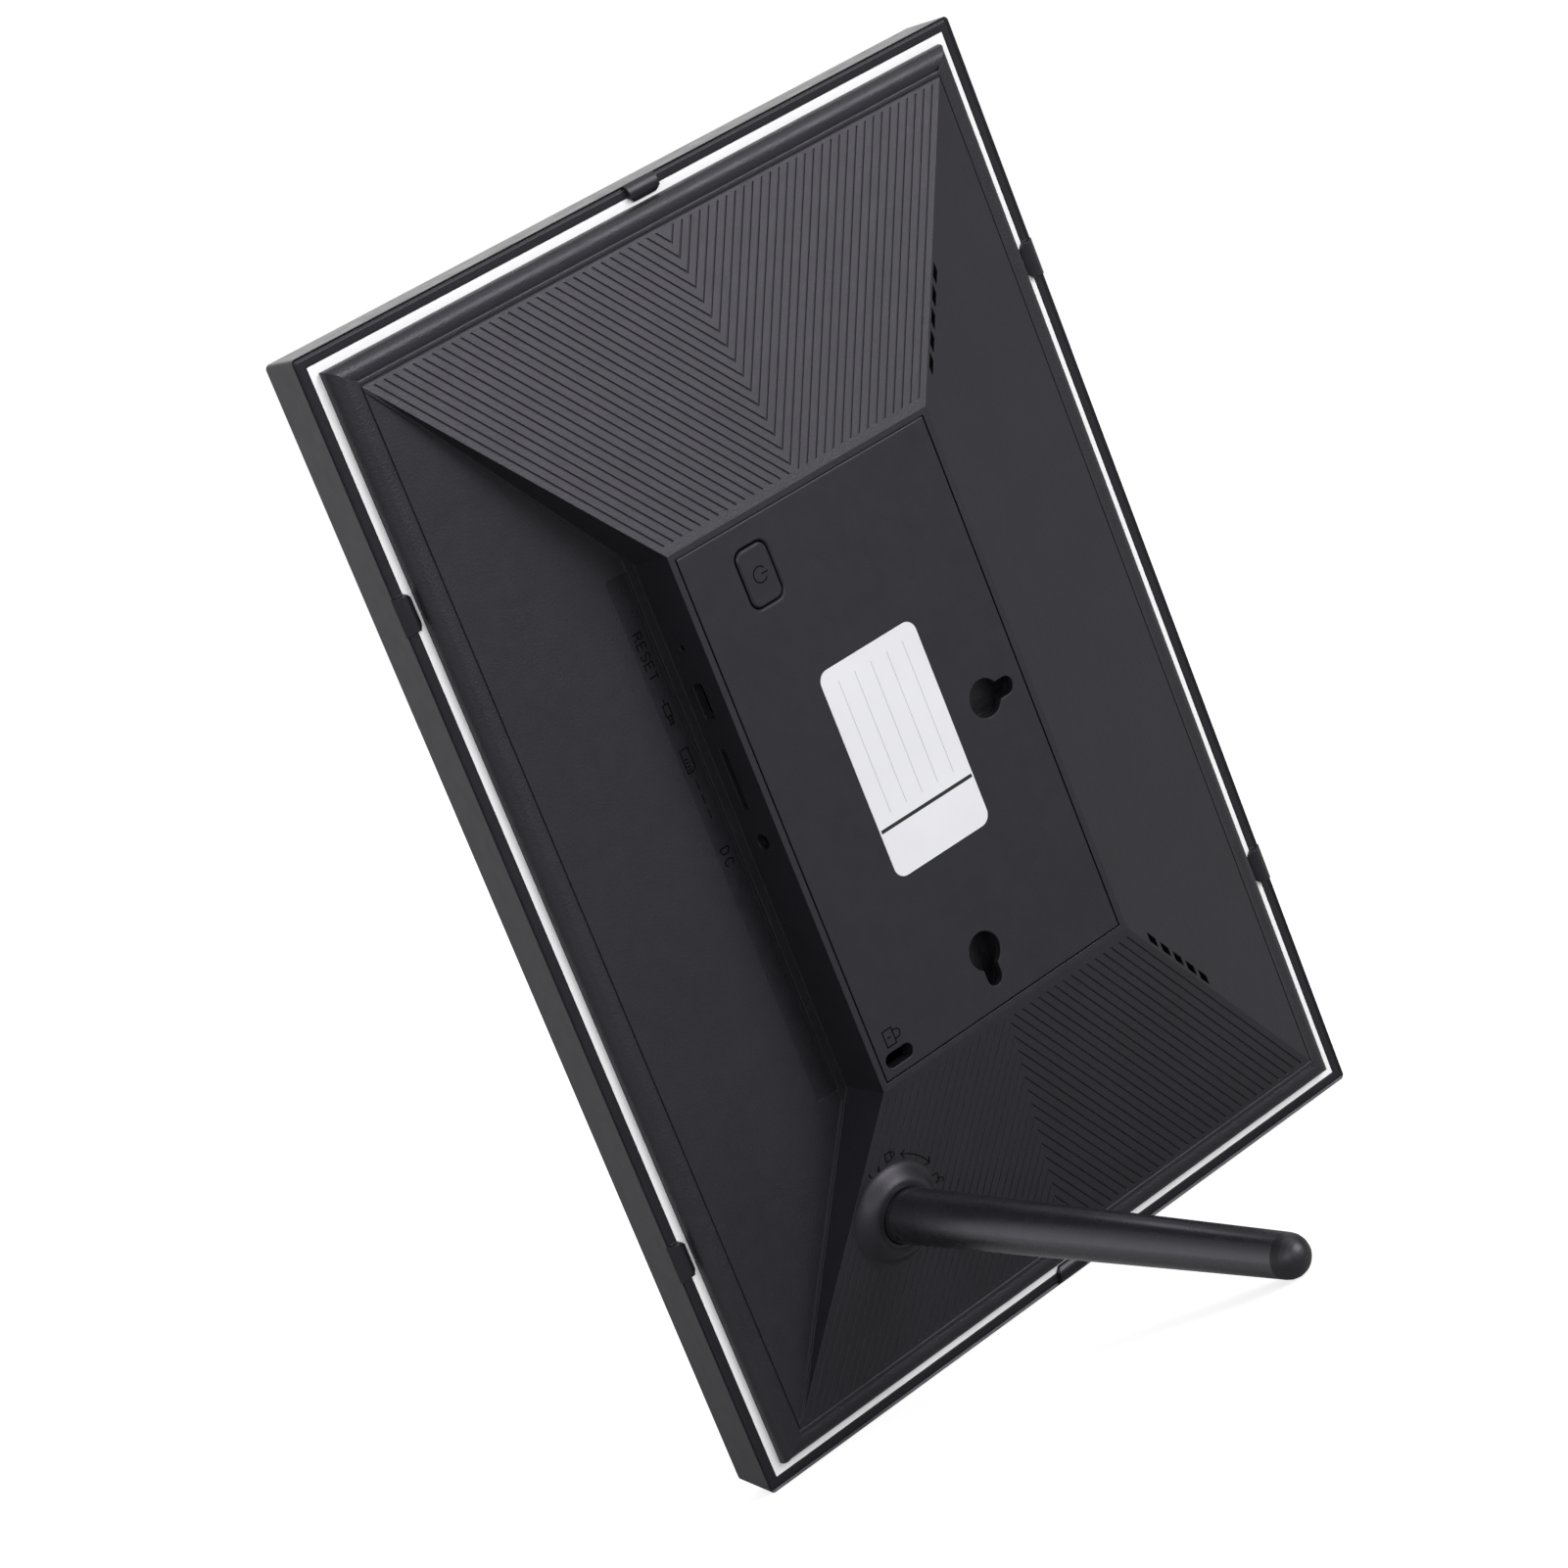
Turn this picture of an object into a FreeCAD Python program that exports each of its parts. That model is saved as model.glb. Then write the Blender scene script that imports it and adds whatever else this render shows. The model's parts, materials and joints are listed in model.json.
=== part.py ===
import FreeCAD, Part
import math
import os

from FreeCAD import Placement, Rotation, Vector

# Digital photo frame, 10-inch class, with a plug-in stand leg.
#
# Local axes, used by every function below:
#   X  across the short side of the frame, + towards the side with the sockets
#   Y  depth, + out of the back; 0 is the rear face of the outer frame's rim
#   Z  along the long side, 0 at its middle, + away from the stand leg
# stand_up() leans the finished pieces back until the rim and the leg tip share one floor.
# All lengths are in millimetres and all angles in degrees.

# ---------------------------------------------------------------- outer frame
view_width = 136.6          # of the screen
view_length = 217.6
surround_side = 23.2        # from the screen's view to the frame's outer face
surround_end = 23.5
frame_depth = 12.85
frame_corner_round = 1.1
frame_front_round = 0.6
frame_taper = 0.9           # how far each side leans in towards the front
rim_width = 2.65            # thickness of the frame's side walls
front_border = 9.0          # width of the frame's front face
front_thickness = 2.0
front_bevel = 1.0
rim_line_inset = 0.1        # the line moulded round the rim's rear face
rim_line_width = 0.9
rim_line_depth = 0.35
rim_line_corner = 0.3       # how much smaller its corners are than the frame's

hook_length = 8.6
hook_height = 1.2           # above the rim
hook_reach = 1.3            # over the bezel's wall
hook_side_overhang = 0.3    # past the frame's long sides
hook_outer_inset = 0.05     # short of the frame's ends
hook_end_bevel = 0.4
hook_inner_chamfer = 1.3
hook_side_inset = 56.8      # from the frame's ends, on the long sides
hook_end_place = -1.0       # from the middle, on the short sides

# ---------------------------------------------------------------- white mat bezel
bezel_gap = 0.1
bezel_wall = 2.3
bezel_recess = 0.75         # wall's rear edge below the rim
mat_thickness = 1.8
ledge_width = 2.2           # seat for the rear cover's skirt
ledge_top = -4.0
view_bevel = 1.2
boss_radius = 2.6
boss_end_inset = 70.0
boss_floor = 0.5

# ---------------------------------------------------------------- screen
tape_thickness = 0.3
tape_width = 4.0
glass_thickness = 1.1
glass_margin = 5.8          # glass past the visible area, each side
panel_thickness = 1.2
panel_margin = 5.6
tray_thickness = 3.3
tray_wall = 0.9
tray_gap = 0.1
back_plate_thickness = 0.4
clamp_length = 12.0
clamp_width = 12.0
clamp_thickness = 0.8

# ---------------------------------------------------------------- rear cover
wall = 2.0
cover_gap = 0.1
skirt_wall = 1.8
nib_length = 8.0
nib_height = 0.9
nib_reach = 0.5
nib_level = -2.2
nib_gap = 0.15
lip_start = 0.5             # where the quarter round springs from the skirt
lip_top = 3.2
lip_round_width = 3.0
lip_flat_width = 0.95
lip_bead_height = 0.45
lip_bead_width = 1.15
lip_bead_edge = 0.1
lip_groove_width = 0.3
lip_groove_depth = 0.4
slope_foot = 3.8            # height at which the slopes start
ridge_height = 16.0
slope_run_side = 54.2       # from the frame's outer face to the ridge
slope_run_end = 69.3
roof_thickness = 2.0        # cover wall under the centre plate

bay_draft = 0.9             # lean of the bay's walls over their height
bay_draft_end = 1.0
bay_foot_width = 2.2
bay_end_foot_width = 0.6
bay_foot_height = 0.4
trough_width = 5.6
trough_depth = 0.5

vent_count = 5
vent_pitch = 4.99
vent_length = 3.3
vent_height = 2.3
vent_first = 11.3           # along the hip, from the ridge corner to the first vent
vent_offset = 2.2           # from the hip, measured along Z

groove_pitch = 2.028        # across the grooves
groove_width = 0.42
groove_floor = 0.16
groove_depth = 0.24
groove_first = 0.35         # from the ridge to a chevron's point, along Z
groove_ridge_margin = 2.1
groove_foot_margin = 0.75
groove_hip_margin = 1.0

# ---------------------------------------------------------------- centre plate
plate_thickness = 1.6
plate_side_margin = 1.9     # from the ridge to the plate
plate_end_margin = 1.4
plate_side_gap = 0.4
plate_end_gap = 0.1
plate_edge_chamfer = 0.3
plate_pin_radius = 1.4
plate_pin_gap = 0.05
plate_pin_inset_x = 4.4
plate_pin_inset_z = 20.9

key_entry_radius = 4.35
key_slot_radius = 2.1
key_reach = 6.2
key_side_inset = 11.2       # from the plate's edges to the entries
key_end_inset = 12.8
key_pocket_gap = 0.3
key_pocket_depth = 4.4      # below the plate
key_cup_wall = 1.4

lock_slot_inset_x = 5.2
lock_slot_inset_z = 3.75
lock_slot_length = 7.8
lock_slot_width = 3.3

label_width = 27.2
label_length = 47.5
label_round = 2.6
label_thickness = 0.12

# ---------------------------------------------------------------- power button
button_inset_x = 17.6       # from the plate's edges
button_inset_z = 11.9
button_hole_width = 9.0
button_hole_length = 13.5
button_hole_round = 2.4
button_gap = 0.35
button_proud = 0.15
button_edge_chamfer = 0.4
button_rim_chamfer = 0.35    # round the plate's opening
button_corner_gap = 0.2     # cover's opening past the plate's
button_roof_gap = 0.05
button_travel = 0.4
button_flange = 1.6          # past the plate's opening
button_flange_thickness = 1.1
button_stem_radius = 1.6

# ---------------------------------------------------------------- main board
board_width = 46.4
board_length = 92.0
board_thickness = 1.6
board_end_inset = 5.0       # from the ridge's upper end
board_wall_gap = 1.0
post_length = 4.8
post_radius = 2.5
post_inset = 3.5
screw_radius = 0.95
screw_clearance = 0.15
pilot_clearance = 0.05
screw_head_radius = 1.9
screw_head_height = 1.2
screw_grip = 3.4            # length in the post
screw_tip_gap = 0.6
socket_wall_gap = 0.1       # from the sockets' mouths to the bay's wall

switch_size = 5.2
switch_height = 1.6
plunger_radius = 1.0
plunger_gap = 0.05
plunger_root = 0.6          # depth of the plunger in its switch
plunger_reach = 0.9         # of the power switch's plunger, above the switch
plunger_end_gap = 0.1
reset_inset = 15.5          # along the board, from its upper end
reset_setback = 1.2         # from the sockets' mouths
reset_plunger_reach = 0.8
reset_travel = 0.3
reset_height = 2.8
reset_width = 4.4
reset_length = 3.6
pinhole_radius = 0.75

usb_inset = 27.8
usb_width = 7.6
usb_height = 2.7
usb_length = 5.6
usb_shell = 0.3
card_inset = 46.0
card_width = 14.6
card_height = 1.8
card_length = 15.0
card_slot_width = 11.6
card_slot_height = 0.9
port_gap = 0.3
jack_inset = 60.8
jack_width = 6.2
jack_height = 4.2
jack_length = 9.5
jack_hole_radius = 1.8
jack_pin_radius = 0.65

usb_tongue = (1.2, 0.6, 0.8)        # inset at each side, thickness, setback
card_slot_floor = 0.45
card_back = 1.5
jack_back = 1.5
jack_pin_setback = 1.5

shield_size = (22.0, 2.2, 28.0)
shield_inset = (8.0, 26.0)          # from the board's lower left corner
shield_wall = 0.3
chip_heights = (1.2, 1.0, 1.0, 2.4)
chip_widths = (14.0, 9.0, 10.0, 7.0)
chip_insets = ((16.0, 42.0), (6.0, 50.0), (30.0, 60.0), (32.0, 20.0))
connector_size = (22.0, 1.6, 4.0)
connector_inset = (12.0, 0.2)
ribbon_width = 18.0
ribbon_thickness = 0.3
ribbon_reach = (3.5, 11.5, 24.0)    # along Z, from the connector to each fold and the end

# ---------------------------------------------------------------- sound and radio
speaker_size = (21.0, 5.0, 34.0)
speaker_side_inset = 30.1    # from the slope's foot
speaker_end_reach = 13.0    # past the ridge's end
speaker_base = 1.0
speaker_cone_depth = 1.2
speaker_cone_rise = 0.8
speaker_gasket_wall = 2.0
speaker_cone_radius = 7.5
lead_radius = 0.7
lead_run = 7.0
lead_height = 1.4            # above the speaker's base
lead_exit = 8.0              # from the speaker's middle
plug_size = (5.0, 1.6, 4.0)
plug_inset = 1.0
plug_places = (74.0, 12.0)   # along the board, from its lower end
antenna_size = (8.0, 0.8, 38.0)
antenna_board_gap = 5.0      # from the antenna to the board's near edge
antenna_inset_z = 24.0       # from the ridge's upper end
coax_radius = 0.5
coax_plug_radius = 1.3
coax_plug_height = 1.4
coax_plug_inset = (4.0, 46.0)
coax_runs = (8.0, 14.0, 6.0)

# ---------------------------------------------------------------- stand leg
leg_reach_x = 5.0           # from the ridge's corner to where the leg's axis meets the wing
leg_reach_z = 27.5
leg_lean_x = 8.4            # lean of the axis towards the middle
leg_lean_z = 4.0            # lean of the axis towards the near short side
leg_length = 107.3          # from the wing to the centre of the round tip
leg_root_radius = 6.25
leg_tip_radius = 4.8
leg_bore_gap = 0.2
dome_radius = 10.3
dome_height = 2.9
dome_top_radius = 7.4
dome_steps = 5
dome_shell = 4.0            # solid depth of the boss below the wing
spigot_radius = 4.6
spigot_gap = 0.05
spigot_length = 6.8
leg_shoulder_gap = 0.1
dome_root = 1.0
lug_radius = 6.2
lug_height = 1.9
lug_angle = 46.0
lug_gap = 0.3
lug_end_gap = 1.0           # angle left between each lug and its stop
socket_radius = 8.4
socket_floor = 1.2
socket_ear_reach = 12.4
socket_ear_angles = (0.0, 115.0)
socket_ear_radius = 3.0
socket_ear_thickness = 2.0
socket_post_radius = 2.6
socket_screw_grip = 1.0
twist_range = 75.0
cap_skirt = 0.8
cap_peg_radius = 2.6
cap_peg_length = 3.4
tip_steps = 6

# ---------------------------------------------------------------- cutting tools
cut_reach = 4.0             # how far a cutting tool runs past the face it opens

# ---------------------------------------------------------------- worked-out places
half_length = view_length / 2 + surround_end
half_width = view_width / 2 + surround_side
ridge_half_width = half_width - slope_run_side
ridge_half_length = half_length - slope_run_end
bezel_inset = rim_width + bezel_gap
cover_inset = bezel_inset + bezel_wall + cover_gap
cover_half_width = half_width - cover_inset
cover_half_length = half_length - cover_inset
slope_inset = (cover_inset + lip_round_width + lip_flat_width + lip_bead_width
               + lip_groove_width)
foot_half_width = half_width - slope_inset
foot_half_length = half_length - slope_inset
slope_rise = ridge_height - slope_foot
side_slope = math.atan2(slope_rise, foot_half_width - ridge_half_width)
end_slope = math.atan2(slope_rise, foot_half_length - ridge_half_length)
hip = Vector(foot_half_width - ridge_half_width, 0, foot_half_length - ridge_half_length)
roof = ridge_height - plate_thickness - roof_thickness
plate_floor = ridge_height - plate_thickness
plate_half_width = ridge_half_width - plate_side_margin
plate_half_length = ridge_half_length - plate_end_margin
key_side_x = key_side_inset - plate_half_width
key_end_z = key_end_inset - plate_half_length
lock_slot_x = plate_half_width - lock_slot_inset_x
lock_slot_z = lock_slot_inset_z - plate_half_length
button_x = plate_half_width - button_inset_x
button_z = plate_half_length - button_inset_z

# The bay's wall is nearest to the sockets at the top of the hollow.
bay_lean = bay_draft / slope_rise
socket_face_x = (ridge_half_width + bay_lean * (ridge_height - roof) - wall * math.hypot(1, bay_lean)
                 - socket_wall_gap)
board_top = roof - post_length
board_bottom = board_top - board_thickness
board_x = (socket_face_x - board_wall_gap - board_width, socket_face_x - board_wall_gap)
board_z = (ridge_half_length - board_end_inset - board_length, ridge_half_length - board_end_inset)
post_x = (board_x[0] + post_inset, board_x[1] - post_inset)
post_z = (board_z[0] + post_inset, board_z[1] - post_inset)
reset_z = board_z[1] - reset_inset
usb_z = board_z[1] - usb_inset
card_z = board_z[1] - card_inset
jack_z = board_z[1] - jack_inset
speaker_x = speaker_side_inset - foot_half_width
speaker_z = ridge_half_length + speaker_end_reach
antenna_x = board_x[0] - antenna_board_gap - antenna_size[0] / 2
antenna_z = ridge_half_length - antenna_inset_z

mat_front = front_thickness - frame_depth
mat_back = mat_front + mat_thickness
glass_front = mat_back + tape_thickness
glass_back = glass_front + glass_thickness
tray_back = glass_back + tray_thickness
panel_half_width = view_width / 2 + panel_margin
panel_half_length = view_length / 2 + panel_margin
tray_half_width = panel_half_width + tray_gap + tray_wall
tray_half_length = panel_half_length + tray_gap + tray_wall
boss_x = (tray_half_width + half_width - bezel_inset - bezel_wall - ledge_width) / 2
boss_z = half_length - boss_end_inset

wing_normal = Vector(0, math.cos(end_slope), -math.sin(end_slope))
leg_axis = Vector(-math.tan(math.radians(leg_lean_x)), 1,
                  -math.tan(math.radians(leg_lean_z))).normalize()
leg_foot = Vector(ridge_half_width + leg_reach_x, ridge_height - leg_reach_z * math.tan(end_slope),
                  -ridge_half_length - leg_reach_z)
ear_line = leg_axis.cross(wing_normal).normalize()
leg_place = Placement(leg_foot, Rotation(ear_line, Vector(0, 0, 0), leg_axis, "ZXY"))
dome_place = Placement(leg_foot, Rotation(Vector(0, 0, 1), wing_normal))
tip_centre = leg_foot + leg_axis * leg_length
spigot_root = leg_shoulder_gap - dome_shell     # leg's shoulder, just above the socket
spigot_end = spigot_root - spigot_length

# The floor touches the rear edge of the rim and the round tip of the leg.
rim_foot = Vector(0, 0, -half_length)
span = tip_centre - rim_foot
lean = math.atan2(span.z, span.y) - math.asin(leg_tip_radius / math.hypot(span.y, span.z))


def stood_up(point):
    """Depth and height of a local point once the frame leans back."""
    return (point.y * math.cos(lean) + point.z * math.sin(lean),
            point.z * math.cos(lean) - point.y * math.sin(lean))


front_centre = Vector(0, frame_front_round - frame_depth, frame_taper + frame_front_round - half_length)
floor_level = stood_up(rim_foot)[1]
nearest = stood_up(front_centre)[0] - frame_front_round
farthest = stood_up(tip_centre)[0] + leg_tip_radius


# ---------------------------------------------------------------- helpers
def block(x0, x1, y0, y1, z0, z1):
    """Box between two corners, given in any order along each axis."""
    low = Vector(min(x0, x1), min(y0, y1), min(z0, z1))
    return Part.makeBox(abs(x1 - x0), abs(y1 - y0), abs(z1 - z0), low)


def slab(half_x, half_z, y0, y1):
    """Box centred on the frame's middle, between two depths."""
    return block(-half_x, half_x, y0, y1, -half_z, half_z)


def frustum(low_half, y0, high_half, y1):
    """Solid between two centred rectangles at two depths."""
    rings = []
    for (half_x, half_z), y in ((low_half, y0), (high_half, y1)):
        rings.append([Vector(sx * half_x, y, sz * half_z)
                      for sx, sz in ((-1, -1), (1, -1), (1, 1), (-1, 1))])
    return convex(rings[0], rings[1])


def upright_edges(body):
    """Edges of a block that run through its depth."""
    return [e for e in body.Edges if abs(e.Vertexes[0].Y - e.Vertexes[-1].Y) > 1e-6]


def rounded_block(cx, cz, width, length, round_radius, y0, y1):
    """Upright block with four rounded corner edges."""
    body = block(cx - width / 2, cx + width / 2, y0, y1, cz - length / 2, cz + length / 2)
    return body.makeFillet(round_radius, upright_edges(body))


def rod(radius, start, end):
    """Cylinder from one point to another."""
    return Part.makeCylinder(radius, (end - start).Length, start, end - start)


def bar(radius, start, end, sides=8):
    """Many-sided rod for small hidden pieces and their holes; radius is to the corners."""
    axis = (end - start).normalize()
    across = axis.cross(Vector(0, 0, 1) if abs(axis.z) < 0.9 else Vector(1, 0, 0)).normalize()
    other = axis.cross(across)
    turns = [math.radians(360 * k / sides) for k in range(sides)] + [0]
    ring = [start + (across * math.cos(t) + other * math.sin(t)) * radius for t in turns]
    return Part.Face(Part.makePolygon(ring)).extrude(end - start)


def turned(profile, place):
    """Solid of revolution of (radius, height) points about a placed Z axis."""
    points = [Vector(r, 0, h) for r, h in profile]
    face = Part.Face(Part.makePolygon(points + points[:1]))
    solid = face.revolve(Vector(0, 0, 0), Vector(0, 0, 1), 360)
    solid.Placement = place
    return solid


def fused(shapes):
    """One solid from several that touch or overlap."""
    return shapes[0].fuse(shapes[1:]).removeSplitter()


def drilled(body, tools):
    """The body with every tool cut away."""
    return body.cut(tools).removeSplitter()


def edges_at(shape, test):
    """Edges of a shape whose two ends both pass a test."""
    return [edge for edge in shape.Edges if all(test(v.Point) for v in edge.Vertexes)]


def meet(one, two, three):
    """Common point of three planes, each a (normal, distance) pair."""
    (n1, d1), (n2, d2), (n3, d3) = one, two, three
    return (n2.cross(n3) * d1 + n3.cross(n1) * d2 + n1.cross(n2) * d3) / n1.dot(n2.cross(n3))


def convex(low, high):
    """Solid between two polygons with the same number of corners."""
    count = len(low)
    faces = [Part.Face(Part.makePolygon(low + low[:1])), Part.Face(Part.makePolygon(high + high[:1]))]
    for i in range(count):
        j = (i + 1) % count
        faces.append(Part.Face(Part.makePolygon([low[i], low[j], high[j], high[i], low[i]])))
    solid = Part.Solid(Part.Shell(faces))
    if solid.Volume < 0:
        solid.reverse()
    return solid


def keyhole(cx, cz, run, round_radius, slot_radius, y0, y1):
    """Round entry with a slot that runs off it; run is the slot's (x, z) reach."""
    far_x = cx + run[0]
    far_z = cz + run[1]
    across_x = slot_radius if run[0] == 0 else 0
    across_z = slot_radius if run[1] == 0 else 0
    entry = rod(round_radius, Vector(cx, y0, cz), Vector(cx, y1, cz))
    end = rod(slot_radius, Vector(far_x, y0, far_z), Vector(far_x, y1, far_z))
    link = block(min(cx, far_x) - across_x, max(cx, far_x) + across_x, y0, y1,
                 min(cz, far_z) - across_z, max(cz, far_z) + across_z)
    return fused([entry, link, end])


def screw(head_seat, direction, depth):
    """Pan-head screw; direction runs from the head into the post."""
    unit = Vector(direction).normalize()
    head = bar(screw_head_radius, head_seat - unit * screw_head_height, head_seat)
    return head.fuse(bar(screw_radius, head_seat, head_seat + unit * depth))


def lead(points, radius):
    """Six-sided lead along straight runs joined by tangent arcs."""
    edges = []
    last = points[0]
    for before, corner, after in zip(points, points[1:], points[2:]):
        u = (before - corner).normalize()
        v = (after - corner).normalize()
        reach = 0.45 * min((before - corner).Length, (after - corner).Length)
        start = corner + u * reach
        end = corner + v * reach
        half_turn = (math.pi - u.getAngle(v)) / 2
        bend = reach / math.tan(half_turn)
        bisector = (u + v).normalize()
        middle = corner + bisector * (math.hypot(bend, reach) - bend)
        edges += [Part.LineSegment(last, start).toShape(), Part.Arc(start, middle, end).toShape()]
        last = end
    edges.append(Part.LineSegment(last, points[-1]).toShape())
    first = (points[1] - points[0]).normalize()
    side = first.cross(Vector(0, 1, 0)).normalize()
    up = side.cross(first)
    turns = [math.radians(60 * k) for k in range(7)]
    ring = Part.makePolygon([points[0] + (side * math.cos(t) + up * math.sin(t)) * radius for t in turns])
    return Part.Wire(edges).makePipeShell([ring], True, False)


# ---------------------------------------------------------------- front pieces
def outer_frame():
    """Black frame: four tapered walls, a front border, a line round the rim and six hooks."""
    body = frustum((half_width - frame_taper, half_length - frame_taper), -frame_depth,
                   (half_width, half_length), 0)
    body = body.makeFillet(frame_corner_round, upright_edges(body))
    body = body.makeFillet(frame_front_round, edges_at(body, lambda p: p.y < 1e-6 - frame_depth))
    inside = slab(half_width - rim_width, half_length - rim_width, mat_front, cut_reach)
    window = slab(half_width - front_border, half_length - front_border, -frame_depth - cut_reach, 0)
    bevel = frustum((half_width - front_border + front_bevel, half_length - front_border + front_bevel),
                    -frame_depth, (half_width - front_border, half_length - front_border),
                    -frame_depth + front_bevel)
    return fused([drilled(body, [inside, window, bevel, rim_line()])] + hooks())


def rim_line():
    """V-shaped ring cut along the outer edge of the rim."""
    deepest = rim_line_inset + rim_line_width / 2
    sides = []
    for inset in (rim_line_inset, rim_line_inset + rim_line_width):
        cone = frustum((half_width - deepest, half_length - deepest), -rim_line_depth,
                       (half_width - inset, half_length - inset), 0)
        sides.append(cone.makeFillet(frame_corner_round - rim_line_corner, upright_edges(cone)))
    return sides[0].cut(sides[1])


def hooks():
    """Six round-backed tabs: two on each long side and one on each short side."""
    spots = [((sx, 0), Vector(sx * half_width, 0, sz * (half_length - hook_side_inset)))
             for sx in (-1, 1) for sz in (-1, 1)]
    spots += [((0, sz), Vector(hook_end_place, 0, sz * half_length)) for sz in (-1, 1)]
    tabs = []
    for (out_x, out_z), place in spots:
        tab = hook(-hook_side_overhang if out_x else hook_outer_inset)
        turn = math.degrees(math.atan2(out_z, -out_x))
        tab.Placement = Placement(place, Rotation(Vector(0, 1, 0), turn))
        tabs.append(tab)
    return tabs


def hook(outer):
    """One tab, reaching along +X from near the frame's edge; arched, with bevelled corners."""
    inner = bezel_inset + hook_reach
    low = -bezel_recess
    root = rim_width / 2
    half = hook_length / 2
    shoulder = 0.3 * hook_height
    crown = Vector(outer + 0.5 * (inner - outer), hook_height, 0)
    section = Part.Wire([
        Part.LineSegment(Vector(outer, 0, 0), Vector(root, low, 0)).toShape(),
        Part.LineSegment(Vector(root, low, 0), Vector(inner, low, 0)).toShape(),
        Part.LineSegment(Vector(inner, low, 0), Vector(inner, shoulder, 0)).toShape(),
        Part.Arc(Vector(inner, shoulder, 0), crown, Vector(outer, 0, 0)).toShape()])
    tab = Part.Face(section).extrude(Vector(0, 0, hook_length))
    tab.translate(Vector(0, 0, -half))
    top = half - hook_end_bevel
    ends = [(-half, low), (half, low), (half, 0), (top, 1.2 * hook_height), (-top, 1.2 * hook_height),
            (-half, 0)]
    profile = [Vector(outer, y, z) for z, y in ends]
    bevelled = Part.Face(Part.makePolygon(profile + profile[:1])).extrude(Vector(inner - outer, 0, 0))
    side = inner - hook_inner_chamfer
    plan = [(outer, -half), (side, -half), (inner, hook_inner_chamfer - half),
            (inner, half - hook_inner_chamfer), (side, half), (outer, half)]
    corners = [Vector(x, low, z) for x, z in plan]
    outline = Part.Face(Part.makePolygon(corners + corners[:1])).extrude(Vector(0, 2 * hook_height - low, 0))
    return tab.common(bevelled).common(outline)


def mat_bezel():
    """White front mat with a bevelled window and a wall that runs back to the rim."""
    outer_x = half_width - bezel_inset
    outer_z = half_length - bezel_inset
    body = slab(outer_x, outer_z, mat_front, -bezel_recess)
    body = body.makeFillet(frame_corner_round, upright_edges(body))
    ledge = slab(outer_x - bezel_wall - ledge_width, outer_z - bezel_wall - ledge_width, mat_back, 0)
    room = slab(outer_x - bezel_wall, outer_z - bezel_wall, ledge_top, 0)
    window = frustum((view_width / 2 + view_bevel, view_length / 2 + view_bevel), mat_front,
                     (view_width / 2, view_length / 2), mat_back)
    body = drilled(body, [ledge, room, window])
    bosses = []
    pilots = []
    for x, z in boss_places():
        bosses.append(bar(boss_radius, Vector(x, mat_back, z), Vector(x, tray_back, z)))
        pilots.append(bar(screw_radius + pilot_clearance, Vector(x, mat_back + boss_floor, z),
                          Vector(x, tray_back + 1, z)))
    return drilled(fused([body] + bosses), pilots + nibs(nib_gap))


def nibs(gap):
    """Snap nibs along the rear cover's skirt, grown by a gap on every side."""
    made = []
    reach = nib_reach + gap
    half = nib_length / 2 + gap
    low = nib_level - nib_height / 2 - gap
    high = nib_level + nib_height / 2 + gap
    for side in (-1, 1):
        edge = side * cover_half_width
        for z in (-0.62 * cover_half_length, 0, 0.62 * cover_half_length):
            made.append(block(edge - side * 0.5, edge + side * reach, low, high, z - half, z + half))
        edge = side * cover_half_length
        for x in (-0.5 * cover_half_width, 0.5 * cover_half_width):
            made.append(block(x - half, x + half, low, high, edge - side * 0.5, edge + side * reach))
    return made


def boss_places():
    """Where the four screen clamps are screwed to the bezel."""
    return [(sx * boss_x, sz * boss_z) for sx in (-1, 1) for sz in (-1, 1)]


def glass_tape():
    """Adhesive frame between the mat and the glass."""
    outer = slab(view_width / 2 + glass_margin, view_length / 2 + glass_margin, mat_back, glass_front)
    inner = slab(view_width / 2 + glass_margin - tape_width, view_length / 2 + glass_margin - tape_width,
                 mat_back, glass_front)
    return outer.cut(inner)


def cover_glass():
    return slab(view_width / 2 + glass_margin, view_length / 2 + glass_margin, glass_front, glass_back)


def lcd_panel():
    return slab(panel_half_width, panel_half_length, glass_back, glass_back + panel_thickness)


def lcd_backlight():
    """Light guide in its plastic frame, which also carries the panel."""
    body = slab(tray_half_width, tray_half_length, glass_back, tray_back - back_plate_thickness)
    pocket = slab(panel_half_width + tray_gap, panel_half_length + tray_gap, glass_back,
                  glass_back + panel_thickness)
    return drilled(body, [pocket])


def lcd_back_plate():
    """Steel sheet behind the light guide."""
    return slab(tray_half_width, tray_half_length, tray_back - back_plate_thickness, tray_back)


def lcd_clamps():
    """Four flat clips that hold the screen down on the bezel's bosses."""
    clamps = []
    for x, z in boss_places():
        side = math.copysign(1, x)
        tail = x + side * boss_radius
        clip = block(tail - side * clamp_length, tail, tray_back, tray_back + clamp_thickness,
                     z - clamp_width / 2, z + clamp_width / 2)
        hole = bar(screw_radius + screw_clearance, Vector(x, tray_back, z),
                   Vector(x, tray_back + clamp_thickness, z))
        clamps.append(clip.cut(hole))
    return Part.makeCompound(clamps)


def clamp_screws():
    """Short screws whose tips stay above the mat."""
    seat = tray_back + clamp_thickness
    depth = seat - mat_back - boss_floor - screw_tip_gap
    return Part.makeCompound([screw(Vector(x, seat, z), Vector(0, -1, 0), depth)
                              for x, z in boss_places()])


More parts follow.
